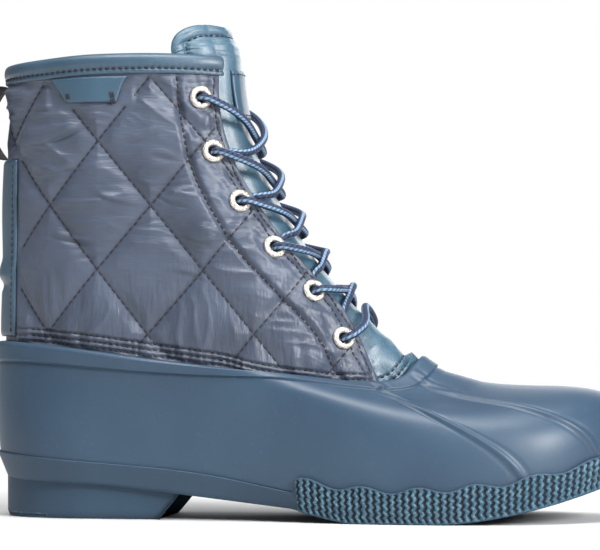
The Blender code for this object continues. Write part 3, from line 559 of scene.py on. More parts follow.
def quilt_spots(place, share):
    """Arc and height of spots of the shaft, then lengths: to the nearest quilting line, past the stay's seam,
    in from the throat's edge, up from the rim and round the shaft per unit of place."""
    arc, height = arc_at(place, share), shaft_face(place, share)[..., 2]
    count = np.stack([quilt_count(arc, height, lean) for lean in (-1, 1)])
    gap = np.abs(count - np.rint(count)).min(0) / math.hypot(1 / QUILT_PITCH, 1 / QUILT_RISE)
    above = share * rise_over(shaft_face, place, np.clip(share, 0.01, 1.0))
    shown = np.clip(share, 0.0, 1.0)
    pace = pace_over(shaft_face, place, shown)
    seam = (np.abs(place) - spline(SEAM_UP, SEAM_AROUND, shown)) * pace
    return arc, height, gap, seam, (edge_around(shown) - np.abs(place)) * pace, above, pace


def crease_depth(place, share):
    """The listed creases: a soft trough with a soft ridge beside it."""
    depth = 0.0
    for start, low, end, high, sink, width in CREASES:
        along = np.clip((place - start) / (end - start), 0.0, 1.0)
        line = low + (high - low) * along + 0.012 * np.sin(3.1 * along + 40 * low)
        off = (share - line) * SHAFT_HEIGHT
        inside = hump(along - 0.5, 0.5) * ((place - start) * (place - end) < 0)
        depth = depth + inside * sink * (0.9 * hump(off - 1.3 * width, 1.6 * width) - hump(off, width))
    return depth


def quilt_depth(place, share):
    """How far the quilted shaft stands out from its plain form."""
    arc, height, gap, seam, inset, above, pace = quilt_spots(place, share)
    top_drop = (binding_share(place) - share) * SHAFT_HEIGHT
    wave = plain_noise(arc / 0.030, height / 0.012, 3)
    patchy = smooth_step(0.22, 0.52, plain_noise(arc / 0.030, height / 0.022, 17))
    patchy = patchy * smooth_step(0.12, 0.50, share)
    loose = patchy * (folds(LEVEL_FOLDS, arc, height, wave) + folds(SMALL_FOLDS, arc, height, wave))
    loose = loose + folds(RIM_GATHERS, arc, height, wave) * hump(above - 0.007, 0.042)
    loose = loose + folds(SEAM_PULLS, above, arc, wave) * hump(seam + 0.004, 0.024)
    loose = loose + folds(COLLAR_TUGS, arc, height, wave) * hump(top_drop - 0.006, 0.014)
    stay = smooth_step(0.0, 0.004, seam) * smooth_step(0.004, 0.010, inset)
    depth = PUFF * (1 - np.exp(-gap / PUFF_REACH)) - PUFF_SINK + loose * smooth_step(0.0004, 0.0060, gap)
    depth = depth + folds(STAY_BULGES, above, inset, wave) * stay - STAY_TROUGH * hump(seam, 0.0030)
    depth = depth + 0.00030 * np.cos(2 * math.pi * arc / STITCH_GAP) * hump(above - 0.0040, 0.0045)
    depth = depth - 0.00075 * sum(hump(above - row, 0.0013) for row in BAND_ROWS)
    depth = depth - 0.00035 * sum(hump(inset - row, 0.0011) for row in EDGE_ROWS) + crease_depth(place, share)
    depth = depth * smooth_step(0.0, 0.004, inset) * smooth_step(-0.0005, 0.0015, above)
    depth = depth * smooth_step(0.0, 0.003, top_drop) * (1 - patch_mask(place, share))
    for index in range(EYELETS):
        at, beside = eyelet_spot(index, 1)
        away = np.hypot((np.abs(place) - beside) * pace, (share - at) * SHAFT_HEIGHT * 1.05)
        turn = np.arctan2(share - at, (np.abs(place) - beside) * 1.4)
        rays = 0.00020 * np.cos(9 * turn + index) * hump(away - 0.0085, 0.0045)
        depth = depth * smooth_step(0.0050, 0.0110, away) + rays
    return depth


def seam_shade_mark(place, share):
    """1 in the stitched lines of the shaft, fading to 0 beside them: where the nylon gets painted shade."""
    _, _, gap, seam, inset, above, _ = quilt_spots(place, share)
    mark = np.maximum(hump(gap, 0.0011), hump(seam, 0.0022)) * (above > 0.0085)
    for row in BAND_ROWS:
        mark = np.maximum(mark, hump(above - row, 0.0014))
    for row in EDGE_ROWS:
        mark = np.maximum(mark, 0.7 * hump(inset - row, 0.0012))
    return mark * (1 - patch_mask(place, share))


def patch_mask(place, share):
    """1 under the side label and the backstay, where the quilting is pressed flat."""
    height = (share - binding_share(place)) * SHAFT_HEIGHT
    arc = (-place - SIDE_LABEL_PLACE) * pace_over(shaft_face, SIDE_LABEL_PLACE, 0.9)
    across = 1 - smooth_step(SIDE_LABEL_TOP / 2, SIDE_LABEL_TOP / 2 + 0.003, np.abs(arc))
    down = 1 - smooth_step(0.012, 0.015, -height)
    back = 1 - smooth_step(STAY_WIDTH / 2, STAY_WIDTH / 2 + 0.004, arc_at(place, np.clip(share, 0, 1)))
    low = 1 - smooth_step(STAY_TOP + 0.02, STAY_TOP + 0.06, share)
    return np.maximum(across * down, back * low)


def tongue_depth(across, share):
    """How far the tongue's leather stands out from its plain form."""
    across, share = paired(across, share)
    dome = np.sqrt(np.clip(1 - across**4, 1e-6, 1))
    above = np.where(share > 1, (2 - share) * TONGUE_RISE * dome, 1.0)
    edge = np.minimum((1 - np.abs(across)) * TONGUE_HALF, above)
    roll = 0.0007 * (hump(edge - 0.0020, 0.0026) - hump(edge - ROLL_ROW, 0.0012))
    pad = 0.0006 * smooth_step(0.005, 0.011, edge)
    low = share * TONGUE_LENGTH
    rows = -0.0005 * sum(hump(low - row, 0.0011) for row in VAMP_ROWS)
    pinch = 0.00018 * np.cos(2 * math.pi * across * TONGUE_HALF / 0.0031) * hump(low - 0.0035, 0.0045)
    wave = plain_noise(across * 3, share * 9, 21)
    soft = 0.00050 * (plain_noise(across * 4.5, share * 16, 27) - 0.5)
    creased = folds(TONGUE_FOLDS, across, share, wave) * hump(low - 0.015, 0.022)
    return (roll + pad) * smooth_step(0.86, 0.96, share) + rows + pinch + creased + soft - 0.0003


# Building
def turn_sheet(shape, sign):
    """Faces of an open sheet turned away from the boot's middle line, or toward it with a minus sign."""
    lean = 0.0
    for face in list(shape.faces)[::7]:
        centre = face.calc_center_median()
        lean += face.normal.x * (centre.x - 0.09) + face.normal.y * centre.y * 3
    if lean * sign < 0:
        bmesh.ops.reverse_faces(shape, faces=shape.faces)


def shape_piece(name, shape, finish, replaced=(), facing=0):
    """Turns a bmesh into a piece that rides on the boot and stands for CAD nodes. Open sheets say which way
    they face."""
    if facing:
        turn_sheet(shape, facing)
    else:
        bmesh.ops.recalc_face_normals(shape, faces=shape.faces)
    mesh = bpy.data.meshes.new(name)
    shape.to_mesh(mesh)
    shape.free()
    mesh.materials.append(finish)
    mesh.shade_smooth()
    piece = bpy.data.objects.new(name, mesh)
    bpy.context.scene.collection.objects.link(piece)
    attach(piece, "root")
    if replaced:
        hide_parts(*replaced)
    return piece


def lay_table(table, weld=True, marks=None, wrap=None):
    """A bmesh grid through a table of points, row by row, with its groove marks and its map."""
    table = np.asarray(table)
    rows, columns = table.shape[0] - 1, table.shape[1] - 1
    shape = bmesh.new()
    bmesh.ops.create_grid(shape, x_segments=columns, y_segments=rows, size=0.5)
    flat = np.array([corner.co[:2] for corner in shape.verts])
    i = np.rint((flat[:, 0] + 0.5) * columns).astype(int)
    j = np.rint((flat[:, 1] + 0.5) * rows).astype(int)
    for corner, point in zip(shape.verts, table[j, i].tolist()):
        corner.co = point
    if marks is not None:
        layer = shape.verts.layers.float.new("groove")
        for corner, value in zip(shape.verts, np.asarray(marks)[j, i].tolist()):
            corner[layer] = value
    if wrap is not None:
        layer = shape.loops.layers.uv.new("run")
        spots = wrap[j, i].tolist()
        for face in shape.faces:
            for loop in face.loops:
                loop[layer].uv = spots[loop.vert.index]
    if weld:
        bmesh.ops.remove_doubles(shape, verts=shape.verts, dist=1e-6)
    return shape


def open_edges(shape):
    return [edge for edge in shape.edges if edge.is_boundary]


def close_ends(shape):
    bmesh.ops.holes_fill(shape, edges=open_edges(shape), sides=0)


def take_in(shape, other):
    """Adds the faces of another bmesh."""
    mesh = bpy.data.meshes.new("part")
    other.to_mesh(mesh)
    other.free()
    shape.from_mesh(mesh)
    bpy.data.meshes.remove(mesh)


def steps_between(knots, counts):
    """Stations from knot to knot, so many steps to each stretch."""
    stretches = zip(knots, knots[1:], counts)
    return np.concatenate([np.linspace(*stretch, endpoint=False) for stretch in stretches] + [[knots[-1]]])


def both_sides(half):
    return np.concatenate([-half[:0:-1], half])


# Finishes
def tint(red, green, blue):
    """A colour from the usual 0 to 255 values."""
    shares = np.array((red, green, blue)) / 255
    return tuple(np.where(shares < 0.04045, shares / 12.92, ((shares + 0.055) / 1.055) ** 2.4).tolist())


class Signal:
    """A shader socket that takes part in plain sums."""

    def __init__(self, finish, socket):
        self.finish = finish
        self.socket = socket

    def __add__(self, other):
        return self.finish.math("ADD", self, other)

    def __sub__(self, other):
        return self.finish.math("SUBTRACT", self, other)

    def __rsub__(self, other):
        return self.finish.math("SUBTRACT", other, self)

    def __mul__(self, other):
        return self.finish.math("MULTIPLY", self, other)

    __radd__ = __add__
    __rmul__ = __mul__


class Finish:
    """One material, with short ways to add the nodes that it needs."""

    def __init__(self, name, **fixed):
        self.material = bpy.data.materials.new(name)
        self.material.use_nodes = True
        self.tree = self.material.node_tree
        self.shader = self.tree.nodes["Principled BSDF"]
        for key, value in fixed.items():
            self.shader.inputs[key.replace("_", " ")].default_value = value
        self.spot = self.node("ShaderNodeTexCoord", {}, {}, "Object")

    def node(self, kind, settings, values, output=0):
        made = self.tree.nodes.new(kind)
        for key, value in settings.items():
            setattr(made, key, value)
        for key, value in values.items():
            self.feed(made.inputs[key], value)
        return Signal(self, made.outputs[output])

    def feed(self, target, value):
        if isinstance(value, Signal):
            self.tree.links.new(value.socket, target)
        elif isinstance(value, tuple) and len(value) == 3 and target.type == "RGBA":
            target.default_value = (*value, 1.0)
        else:
            target.default_value = value

    def math(self, operation, *values):
        return self.node("ShaderNodeMath", {"operation": operation}, dict(enumerate(values)))

    def noise(self, scale, detail=3.0, stretch=None):
        place = self.spot
        if stretch:
            place = self.node("ShaderNodeMapping", {}, {"Vector": place, "Scale": stretch})
        return self.node("ShaderNodeTexNoise", {}, {"Vector": place, "Scale": scale, "Detail": detail})

    def weave(self, way, scale):
        return self.node("ShaderNodeTexWave", {"bands_direction": way}, {"Vector": self.spot, "Scale": scale})

    def cells(self, feature, scale):
        return self.node("ShaderNodeTexVoronoi", {"feature": feature}, {"Vector": self.spot, "Scale": scale})

    def groove(self):
        """The mark that a mesh carries in its grooves and seams; finishes use it for painted shade."""
        return self.node("ShaderNodeAttribute", {"attribute_name": "groove"}, {}, "Fac")

    def blend(self, share, first, second):
        return self.node("ShaderNodeMix", {"data_type": "RGBA"}, {0: share, 6: first, 7: second}, 2)

    def between(self, value, low, high):
        """0 below low, 1 above high."""
        values = {"Value": value, "From Min": low, "From Max": high}
        return self.node("ShaderNodeMapRange", {"clamp": True}, values)

    def set(self, **values):
        for key, value in values.items():
            self.feed(self.shader.inputs[key.replace("_", " ")], value)

    def done(self, colour, rough, height, depth, strength):
        """Plugs in colour, roughness and relief, and hands the material over."""
        relief = self.node("ShaderNodeBump", {}, {"Height": height, "Distance": depth, "Strength": strength})
        self.set(Base_Color=colour, Roughness=rough, Normal=relief)
        return self.material


def make_rubber():
    finish = Finish("moulded slate rubber", Coat_Weight=0.10, Coat_Roughness=0.30, Specular_IOR_Level=0.45)
    cloud = finish.noise(22.0, 4.0)
    dust = finish.between(finish.noise(420.0, 2.0), 0.62, 0.80) * 0.35
    body = finish.blend(finish.between(cloud, 0.35, 0.70), tint(43, 65, 86), tint(50, 74, 95))
    grain = finish.noise(900.0, 2.0) * 0.5 + finish.noise(60.0, 2.0)
    return finish.done(finish.blend(dust, body, tint(66, 90, 110)), 0.40 + cloud * 0.14, grain, 0.00012, 0.5)


def make_sole_rubber():
    finish = Finish("ribbed sole rubber", Specular_IOR_Level=0.40)
    groove = finish.groove()
    cloud = finish.noise(22.0, 4.0)
    worn = finish.noise(700.0, 2.0)
    body = finish.blend(finish.between(cloud, 0.35, 0.70), tint(44, 65, 85), tint(51, 74, 94))
    crest = finish.blend(finish.between(worn, 0.45, 0.75), tint(50, 84, 104), tint(94, 136, 154))
    body = finish.blend(finish.between(groove, 0.02, 0.20), body, crest)
    # Painted shade: high groove marks turn the rib and tread grooves near black.
    body = finish.blend(finish.between(groove, 0.35, 0.75), body, tint(12, 24, 38))
    return finish.done(body, 0.44 + cloud * 0.16, worn, 0.00010, 0.5)


def make_nylon():
    finish = Finish("quilted satin nylon", Sheen_Weight=0.15, Sheen_Roughness=0.35, Specular_IOR_Level=0.60)
    cloud = finish.noise(30.0)
    body = finish.blend(finish.between(cloud, 0.30, 0.72), tint(54, 63, 79), tint(72, 82, 101))
    # Painted shade: the nylon darkens along the stitched seams and quilting lines, by the groove mark.
    body = finish.blend(finish.groove() * 0.5, body, tint(26, 30, 42))
    height = finish.node("ShaderNodeSeparateXYZ", {}, {"Vector": finish.spot}, 2)
    high = finish.between(height, 0.100, 0.135)
    level = finish.math("ABSOLUTE", finish.noise(70.0, 3.0, (0.8, 0.8, 3.4)) - 0.5)
    upright = finish.math("ABSOLUTE", finish.noise(95.0, 3.0, (2.6, 2.6, 0.55)) - 0.5)
    fold = level * (0.15 + high) + upright * (1.0 - high)
    crinkle = finish.noise(300.0, 3.0, (1.0, 1.0, 1.6)) * 0.10 + finish.weave("Z", 900.0) * 0.02
    return finish.done(body, 0.36 + cloud * 0.16, crinkle - fold * 1.5, 0.0012, 0.6)


def make_leather(name, dark, light, shine, grain):
    finish = Finish(name, Coat_Weight=shine, Coat_Roughness=0.30, Specular_IOR_Level=0.55)
    cloud = finish.noise(26.0, 4.0)
    body = finish.blend(finish.between(cloud, 0.28, 0.72), dark, light)
    pebble = finish.between(finish.cells("DISTANCE_TO_EDGE", 950.0), 0.0, 0.25) * 0.22
    creases = finish.noise(110.0, 4.0)
    return finish.done(body, 0.36 + cloud * 0.16, pebble + creases, 0.00042 * grain, 0.8)


def make_thread(name, colour):
    finish = Finish(name)
    twist = finish.noise(1600.0, 2.0)
    body = finish.blend(twist, colour, tuple(min(1.0, 2.2 * value + 0.01) for value in colour))
    return finish.done(body, 0.62 + twist * 0.2, twist, 0.0001, 0.5)


def make_nickel():
    finish = Finish("pitted pale nickel", Metallic=1.0)
    pits = finish.noise(1300.0)
    stain = finish.noise(300.0)
    bright = finish.blend(stain, tint(214, 205, 192), tint(236, 230, 220))
    body = finish.blend(finish.between(pits, 0.56, 0.66) * 0.7, bright, tint(120, 112, 100))
    return finish.done(body, 0.28 + stain * 0.20, finish.between(pits, 0.40, 0.62), 0.00025, 0.8)


def make_cord_finish():
    """Two-tone braid: bundles run both ways round the cord, on its own map of turns and length."""
    finish = Finish("two-tone lace braid")
    run = finish.node("ShaderNodeUVMap", {"uv_map": "run"}, {})
    turns = finish.node("ShaderNodeSeparateXYZ", {}, {"Vector": run})
    along = Signal(finish, turns.socket.node.outputs[1])
    first = finish.math("PINGPONG", along + turns * 4.0, 0.5)
    second = finish.math("PINGPONG", along - turns * 4.0, 0.5)
    core = finish.between(finish.math("PINGPONG", turns * 3.0, 0.5), 0.13, 0.21)
    fleck = finish.between(first * 2.0, 0.35, 0.65)
    light = finish.blend(fleck, tint(74, 102, 134), tint(128, 158, 186))
    navy = finish.blend(fleck, tint(16, 24, 46), tint(32, 48, 80))
    bundle = finish.math("MAXIMUM", first, second) * 2.0
    return finish.done(finish.blend(core, light, navy), 0.50 + fleck * 0.15, bundle, 0.00035, 0.9)


def make_webbing():
    finish = Finish("black webbing")
    weave = finish.weave("Z", 330.0) * finish.weave("Y", 260.0)
    body = finish.blend(weave, tint(14, 15, 20), tint(44, 47, 56))
    return finish.done(body, 0.72 + weave * 0.15, weave, 0.0006, 0.9)


def make_lining_finish():
    finish = Finish("knitted lining", Sheen_Weight=0.2)
    cloud = finish.noise(40.0)
    body = finish.blend(cloud, tint(46, 50, 60), tint(66, 72, 84))
    return finish.done(body, 0.80 + cloud * 0.12, finish.cells("F1", 700.0), 0.0005, 0.8)


RUBBER = make_rubber()
SOLE_RUBBER = make_sole_rubber()
NYLON = make_nylon()
LEATHER = make_leather("pearled blue leather", tint(38, 68, 88), tint(62, 97, 116), 0.45, 1.0)
TRIM_LEATHER = make_leather("blue trim leather", tint(33, 57, 76), tint(52, 81, 101), 0.35, 0.8)
PATCH_LEATHER = make_leather("smooth patch leather", tint(39, 66, 86), tint(51, 81, 101), 0.25, 0.5)
THREAD = make_thread("dark navy thread", tint(16, 18, 30))
NICKEL = make_nickel()
CORD = make_cord_finish()
WEBBING = make_webbing()
LINING = make_lining_finish()


# Rubber shell
SHELL_SIDE = both_sides(steps_between((0.0, 0.12, 0.70, 0.93, 1.0), (24, 76, 150, 26)))
SHELL_RISE = np.linspace(0.0, 0.78, 46)
BAND_FOOT = 0.79
BAND_MILLIMETRES = (13.0, 11.0, 9.8, 9.2, 8.8, 8.5, 8.2, 7.9, 7.6, 7.2, 5.5, 3.6, 2.0, 1.2, 0.7, 0.35, 0.0)
RIM_TURN = np.linspace(0.0, 1.0, 5)[1:-1]
LIP_SHARE = 0.35
SHELL_INNER = np.array((0.0, 0.004, 0.010, 0.030))


def bead_lift(place, share):
    lift = 0.0
    for column in (BEAD_SIDE, BEAD_TOE):
        away = (np.abs(place) - spline(BEAD_UP, column, share)) * pace_over(shell_face, place, share)
        lift = lift + hump(away, BEAD_SOFT) - 0.25 * hump(np.abs(away) - 0.0034, 0.0015)
    return lift * BEAD_HEIGHT * smooth_step(0.03, 0.10, share) * (1 - smooth_step(0.95, 1.0, share))


def make_shell_skin():
    speed = rise_over(shell_face, SHELL_SIDE, 1.0)
    table = [offset(shell_face, SHELL_SIDE, share, bead_lift(SHELL_SIDE, share)) for share in SHELL_RISE]
    for depth in np.array(BAND_MILLIMETRES) / 1000:
        share = np.maximum(1 - depth / speed, BAND_FOOT)
        proud = BAND_PROUD * (1 - smooth_step(BAND_HEIGHT, BAND_HEIGHT + BAND_STEP, depth))
        proud = proud * (LIP_SHARE + (1 - LIP_SHARE) * smooth_step(0.0, 0.0014, depth))
        groove = 0.0003 * hump(depth - BAND_HEIGHT - 0.0010, 0.0006)
        table.append(offset(shell_face, SHELL_SIDE, share, proud - groove + bead_lift(SHELL_SIDE, share)))
    lip = BAND_PROUD * LIP_SHARE
    for turn in RIM_TURN:
        reach = lip - (lip + SHELL_WALL) * turn
        table.append(offset(shell_face, SHELL_SIDE, 1.0, reach) + UP * 0.0004 * math.sin(math.pi * turn))
    inner = [1 - depth / speed for depth in SHELL_INNER]
    inner += [inner[-1] * (1 - part) for part in np.linspace(0.0, 1.0, 13)[1:]]
    table += [offset(shell_face, SHELL_SIDE, share, -SHELL_WALL) for share in inner]
    shape = lay_table(table + table[:1])
    return shape_piece("rubber_shell_skin", shape, RUBBER, ("rubber_shell",))


# Outsole
def middle_line(loop):
    """A mirrored loop drawn in to its own middle."""
    middle = loop.copy()
    middle[:, 1] = (loop[:, 1] + loop[::-1, 1]) / 2
    return middle


def make_sole_skin():
    places = np.linspace(0.0, 1.0, 2001)
    line = base_loop(places)
    run = length_along(line)
    start = float(np.interp(CUP_START, line[:, 0], run))
    back = np.linspace(0.0, start, 70, endpoint=False)
    front = np.linspace(start, run[-1], round((run[-1] - start) / RIB_SPACING) * 6 + 1)
    side_run = np.concatenate([back, front])
    side = both_sides(np.interp(side_run, run, places))
    length = np.abs(both_sides(side_run))
    base = base_loop(side)
    out = plan_normal(base_loop, side)
    x = base[:, 0]
    cup = smooth_step(CUP_START - 0.0005, CUP_START + 0.0010, x)
    wave = WAVE_RISE * np.cos(2 * math.pi * (x - CUP_START) / WAVE_LENGTH - math.pi / 2)
    lip = LEDGE_RISE + cup * (CUP_RISE - LEDGE_RISE + wave)
    wall = LEDGE_WALL + cup * (CUP_WALL - LEDGE_WALL)
    tuck = LEDGE_TUCK + cup * (WALL_TUCK - LEDGE_TUCK)
    rise = (rim_loop(side) - base)[:, 2]
    inner = offset(shell_face, side, lip / (3 * around(SHELL_UP, side) * rise), 0.00025)
    top = inner + out * wall[:, None] - UP * GAP
    low = base + out * (wall - LOW_TUCK * tuck)[:, None]
    low[:, 2] = under_height(low[:, 0]) + LOW_RISE
    floor = base + out * (wall - tuck)[:, None]
    floor[:, 2] = under_height(floor[:, 0])
    deck = base + out * GAP - UP * GAP
    table = [deck * (1 - share) + middle_line(deck) * share for share in (1.0, 0.5, 0.0)]
    table += [inner, (inner + top) / 2 + UP * 0.0002]
    marks = [np.zeros_like(side)] * len(table)
    for share in np.linspace(0.0, 1.0, 31):
        zig = np.abs(2 * ((share * RIB_WIGGLES) % 1) - 1) - 0.5
        rib = 0.5 + 0.5 * np.cos(2 * math.pi * ((length - start) / RIB_SPACING + zig * RIB_SWAY * 2))
        deep = cup * (1 - smooth_step(0.18, 0.70, rib)) * smooth_step(0.0, 0.05, share)
        bulge = 0.0005 * math.sin(math.pi * share) * cup
        table.append(top * (1 - share) + low * share + out * (bulge - deep * RIB_DEPTH)[:, None])
        # Groove mark: its high values in the rib grooves give painted shade; 0.25 elsewhere on the ribbed
        # wall picks its lighter rubber.
        marks.append(np.maximum(deep, 0.25 * cup * smooth_step(0.02, 0.06, share)))
    for share in np.linspace(0.0, 1.0, 35):
        spot = floor * (1 - share) + middle_line(floor) * share
        cut = tread_cut(spot[:, 0], spot[:, 1], floor[:, 1], False)
        spot[:, 2] += cut * LUG_DEPTH
        table.append(spot)
        # Painted shade in the tread grooves, through the groove mark.
        marks.append(cut)
    shape = lay_table(table, True, marks)
    add_heel(shape)
    return shape_piece("outsole_skin", shape, SOLE_RUBBER, ("outsole",))


def tread_cut(x, y, edge, heel):
    """1 in the zigzag grooves between the lugs, 0 on the lugs."""
    sway = LUG_SWAY * (np.abs(2 * ((y / (2 * LUG_FOLD)) % 1) - 1) - 0.5)
    if heel:
        spot = (HEEL_FRONT - x - sway) / LUG_PITCH - 0.5
        inside = (x < HEEL_FRONT - 0.004) & (x > 2 * LUG_EDGE - HEEL_BACK - 0.004)
    else:
        spot = (x - sway - CUP_START) / LUG_PITCH
        inside = (x > CUP_START + 1.6 * LUG_PITCH) & (x < SOLE_LENGTH - SOLE_BACK - 3.2 * LUG_PITCH)
    away = np.abs(spot - np.rint(spot)) * LUG_PITCH
    border = smooth_step(LUG_EDGE - 0.0008, LUG_EDGE + 0.0008, np.abs(edge) - np.abs(y))
    return (1 - smooth_step(LUG_GROOVE / 2 - 0.0003, LUG_GROOVE / 2 + 0.0005, away)) * border * inside


def add_heel(shape):
    """The heel block: its side wall with a fine notched foot, and its lugged underside."""
    loop = base_loop(np.linspace(-HEEL_AROUND, HEEL_AROUND, 241))
    x = loop[:, 0] + SOLE_BACK - HEEL_BACK
    y = loop[:, 1] / np.abs(loop[:, 1]).max() * HEEL_WIDTH / 2
    back = 1 - smooth_step(0.0, HEEL_BACK, x + HEEL_BACK)
    notch = 0.5 + 0.5 * np.cos(2 * math.pi * length_along(np.stack([x, y], -1)) / 0.0021)
    rows = []
    for height, ease in zip((1.0, 0.6, 0.3, 0.2, 0.14, 0.07, 0.0), (0.0, 0.0, 0.0, 0.0, 0.0, 0.35, 1.0)):
        z = (under_height(x) + HEEL_SINK) * height
        front = HEEL_FRONT + z * BREAST_LEAN / BREAST_HEIGHT
        notched = 0.0004 * notch * (height < 0.18)
        wall_x = np.minimum(x + HEEL_BEVEL * back * ease + notched * back, front)
        wall_y = y * (1 - 2 * (HEEL_BEVEL * ease + notched * (1 - back)) / HEEL_WIDTH)
        rows.append(np.stack([wall_x, wall_y, z], -1))
    foot_x, foot_y, _ = rows[-1].T
    for share in np.linspace(1.0, 0.0, 31)[1:]:
        cut = tread_cut(foot_x, foot_y * share, foot_y, True)
        rows.append(np.stack([foot_x, foot_y * share, cut * LUG_DEPTH], -1))
    block = lay_table(rows)
    close_ends(block)
    # The groove mark here gives painted shade in the heel's tread grooves.
    layer = block.verts.layers.float.new("groove")
    for corner in block.verts:
        inside = 0.0005 < corner.co.z < 0.0025 and abs(corner.co.y) < HEEL_WIDTH / 2 - LUG_EDGE - 0.001
        corner[layer] = 0.8 if inside else 0.0
    take_in(shape, block)


# Quilted shaft
def cut_eyelet_holes(shape):
    points = np.array([corner.co for corner in shape.verts])
    inside = np.zeros(len(points), bool)
    for side in (-1, 1):
        for index in range(EYELETS):
            back = np.array(eyelet_frame(index, side).inverted())
            spots = points @ back[:3, :3].T + back[:3, 3]
            inside |= (np.hypot(spots[:, 0], spots[:, 1]) < EYELET_BARREL) & (np.abs(spots[:, 2]) < 0.008)
    shape.verts.ensure_lookup_table()
    bmesh.ops.delete(shape, geom=[shape.verts[i] for i in np.flatnonzero(inside)], context="VERTS")


def make_shaft_skin():
    """The quilted outer cloth, turned in at the throat's edges, and the smooth lining behind it."""
    nose = np.array((0.25, 0.6, 1.0))
    shares = [(-0.9, -0.4), np.linspace(0.0, 0.14, 42), np.linspace(0.14, 0.94, 150)[1:], (0.96, 0.985)]
    shares = np.concatenate(shares)
    edge, up = edge_around(shares)[:, None], shares[:, None]
    places, level = paired(np.linspace(-1, 1, 401) * edge, up)
    middle = offset(shaft_face, places, up, np.where(up < 0, 0.0, quilt_depth(places, level)))
    ends = []
    for side in (-1, 1):
        tip = offset(shaft_face, side * edge, up, -UPPER_WALL * nose[None])
        ahead = unit(shaft_face(side * edge, up) - shaft_face(side * (edge - 0.01), up))
        ends.append(tip + ahead * (0.0011 * np.sin(math.pi * nose))[:, None])
    table = np.concatenate([ends[0][:, ::-1], middle, ends[1]], 1)
    marks = np.pad(seam_shade_mark(places, level), ((0, 0), (len(nose), len(nose))))
    shape = lay_table(table, False, marks)
    cut_eyelet_holes(shape)
    shape_piece("quilted_shaft", shape, NYLON, ("upper",), 1)
    shares = np.linspace(-0.9, 0.985, 80)
    places = np.linspace(-1, 1, 161) * edge_around(shares)[:, None]
    shape = lay_table(offset(shaft_face, places, shares[:, None], -UPPER_WALL), False)
    cut_eyelet_holes(shape)
    shape_piece("shaft_lining", shape, LINING, (), -1)


def read_line(at, run, line):
    return np.stack([np.interp(at, run, column) for column in line.T], -1)


def sew(name, rows, pitch, length, radius=STITCH_RADIUS):
    """Rows of small rounded stitches in one mesh. A row is points and the way out of the cloth at each."""
    bead = bmesh.new()
    bmesh.ops.create_uvsphere(bead, u_segments=6, v_segments=4, radius=1.0)
    corners = np.array([corner.co for corner in bead.verts])[:, (2, 1, 0)]
    corners = corners * (length / 2, radius, radius * 0.8)
    faces = [[corner.index for corner in face.verts] for face in bead.faces]
    bead.free()
    points = []
    polygons = []
    for line, out in rows:
        run = length_along(line)
        if run[-1] < pitch:
            continue
        at = np.arange(pitch / 2, run[-1], pitch)
        along = unit(read_line(at + length / 3, run, line) - read_line(at - length / 3, run, line))
        across = unit(np.cross(read_line(at, run, out), along))
        for spot, *axes in zip(read_line(at, run, line), along, across, np.cross(along, across)):
            polygons += [[len(points) + i for i in face] for face in faces]
            points += (spot + corners @ np.array(axes)).tolist()
    mesh = bpy.data.meshes.new(name)
    mesh.from_pydata(points, [], polygons)
    shape = bmesh.new()
    shape.from_mesh(mesh)
    bpy.data.meshes.remove(mesh)
    return shape_piece(name, shape, THREAD)


def line_on(face, place, share, lift, relief=None):
    """Points over a face or over its relief, and the way out there."""
    place, share = paired(place, share)
    deep = relief(place, share) if relief else 0.0
    ways = unit(offset(face, place, share, 0.001) - face(place, share))
    return offset(face, place, share, deep + lift), ways


def quilt_rows():
    rows = []
    shares = np.linspace(0.045, 0.955, 150)
    places = np.linspace(0.04, 0.86, 220)
    edge = edge_around(shares)
    trim = binding_share(places)
    height = shaft_face(places, shares[:, None])[..., 2]
    arc = arc_at(places, shares[:, None])
    for lean in (-1, 1):
        found = {}
        for share, count, limit in zip(shares, quilt_count(arc, height, lean), edge):
            for whole in range(math.ceil(count.min()), math.floor(count.max()) + 1):
                place = float(np.interp(whole, count, places))
                under_trim = share < np.interp(place, places, trim) - 0.01
                if under_trim and place < min(limit - 0.02, 0.99 * places[-1]):
                    found.setdefault(whole, []).append((place, share))
        for spots in found.values():
            place, share = np.array(spots).T
            for side in (-1, 1):
                keep = patch_mask(side * place, share) < 0.4
                if keep.sum() > 4:
                    rows.append(line_on(shaft_face, side * place[keep], share[keep], 0.0001, quilt_depth))
    return rows


def place_inset(share, distance):
    """Places a distance behind the throat's edge."""
    edge = edge_around(share)
    return edge - distance / pace_over(shaft_face, edge, share)


def shaft_stitches():
    heavy = []
    fine = []
    shares = np.linspace(0.05, 0.95, 160)
    places = np.linspace(0.13, 0.775, 220)
    for side in (-1, 1):
        seam = spline(SEAM_UP, SEAM_AROUND, shares)
        heavy.append(line_on(shaft_face, side * seam, shares, 0.0002, quilt_depth))
        for distance, up in zip(EDGE_ROWS, (shares, shares[shares < 0.66])):
            fine.append(line_on(shaft_face, side * place_inset(up, distance), up, 0.0001, quilt_depth))
        for distance in BAND_ROWS:
            up = distance / rise_over(shaft_face, places, 0.02)
            fine.append(line_on(shaft_face, side * places, up, 0.0001, quilt_depth))
    sew("quilting_stitches", quilt_rows(), STITCH_GAP, 0.0027)
    sew("seam_stitches", heavy, 0.0031, 0.0024, STITCH_RADIUS * 1.35)
    sew("edge_stitches", fine, 0.0028, 0.0022)


# Leather trims
def soften(points, rounds=2):
    """A closed flat outline with its corners cut, twice over."""
    for _ in range(rounds):
        ahead = np.roll(points, -1, axis=0)
        points = np.stack([0.75 * points + 0.25 * ahead, 0.25 * points + 0.75 * ahead], 1).reshape(-1, 2)
    return points


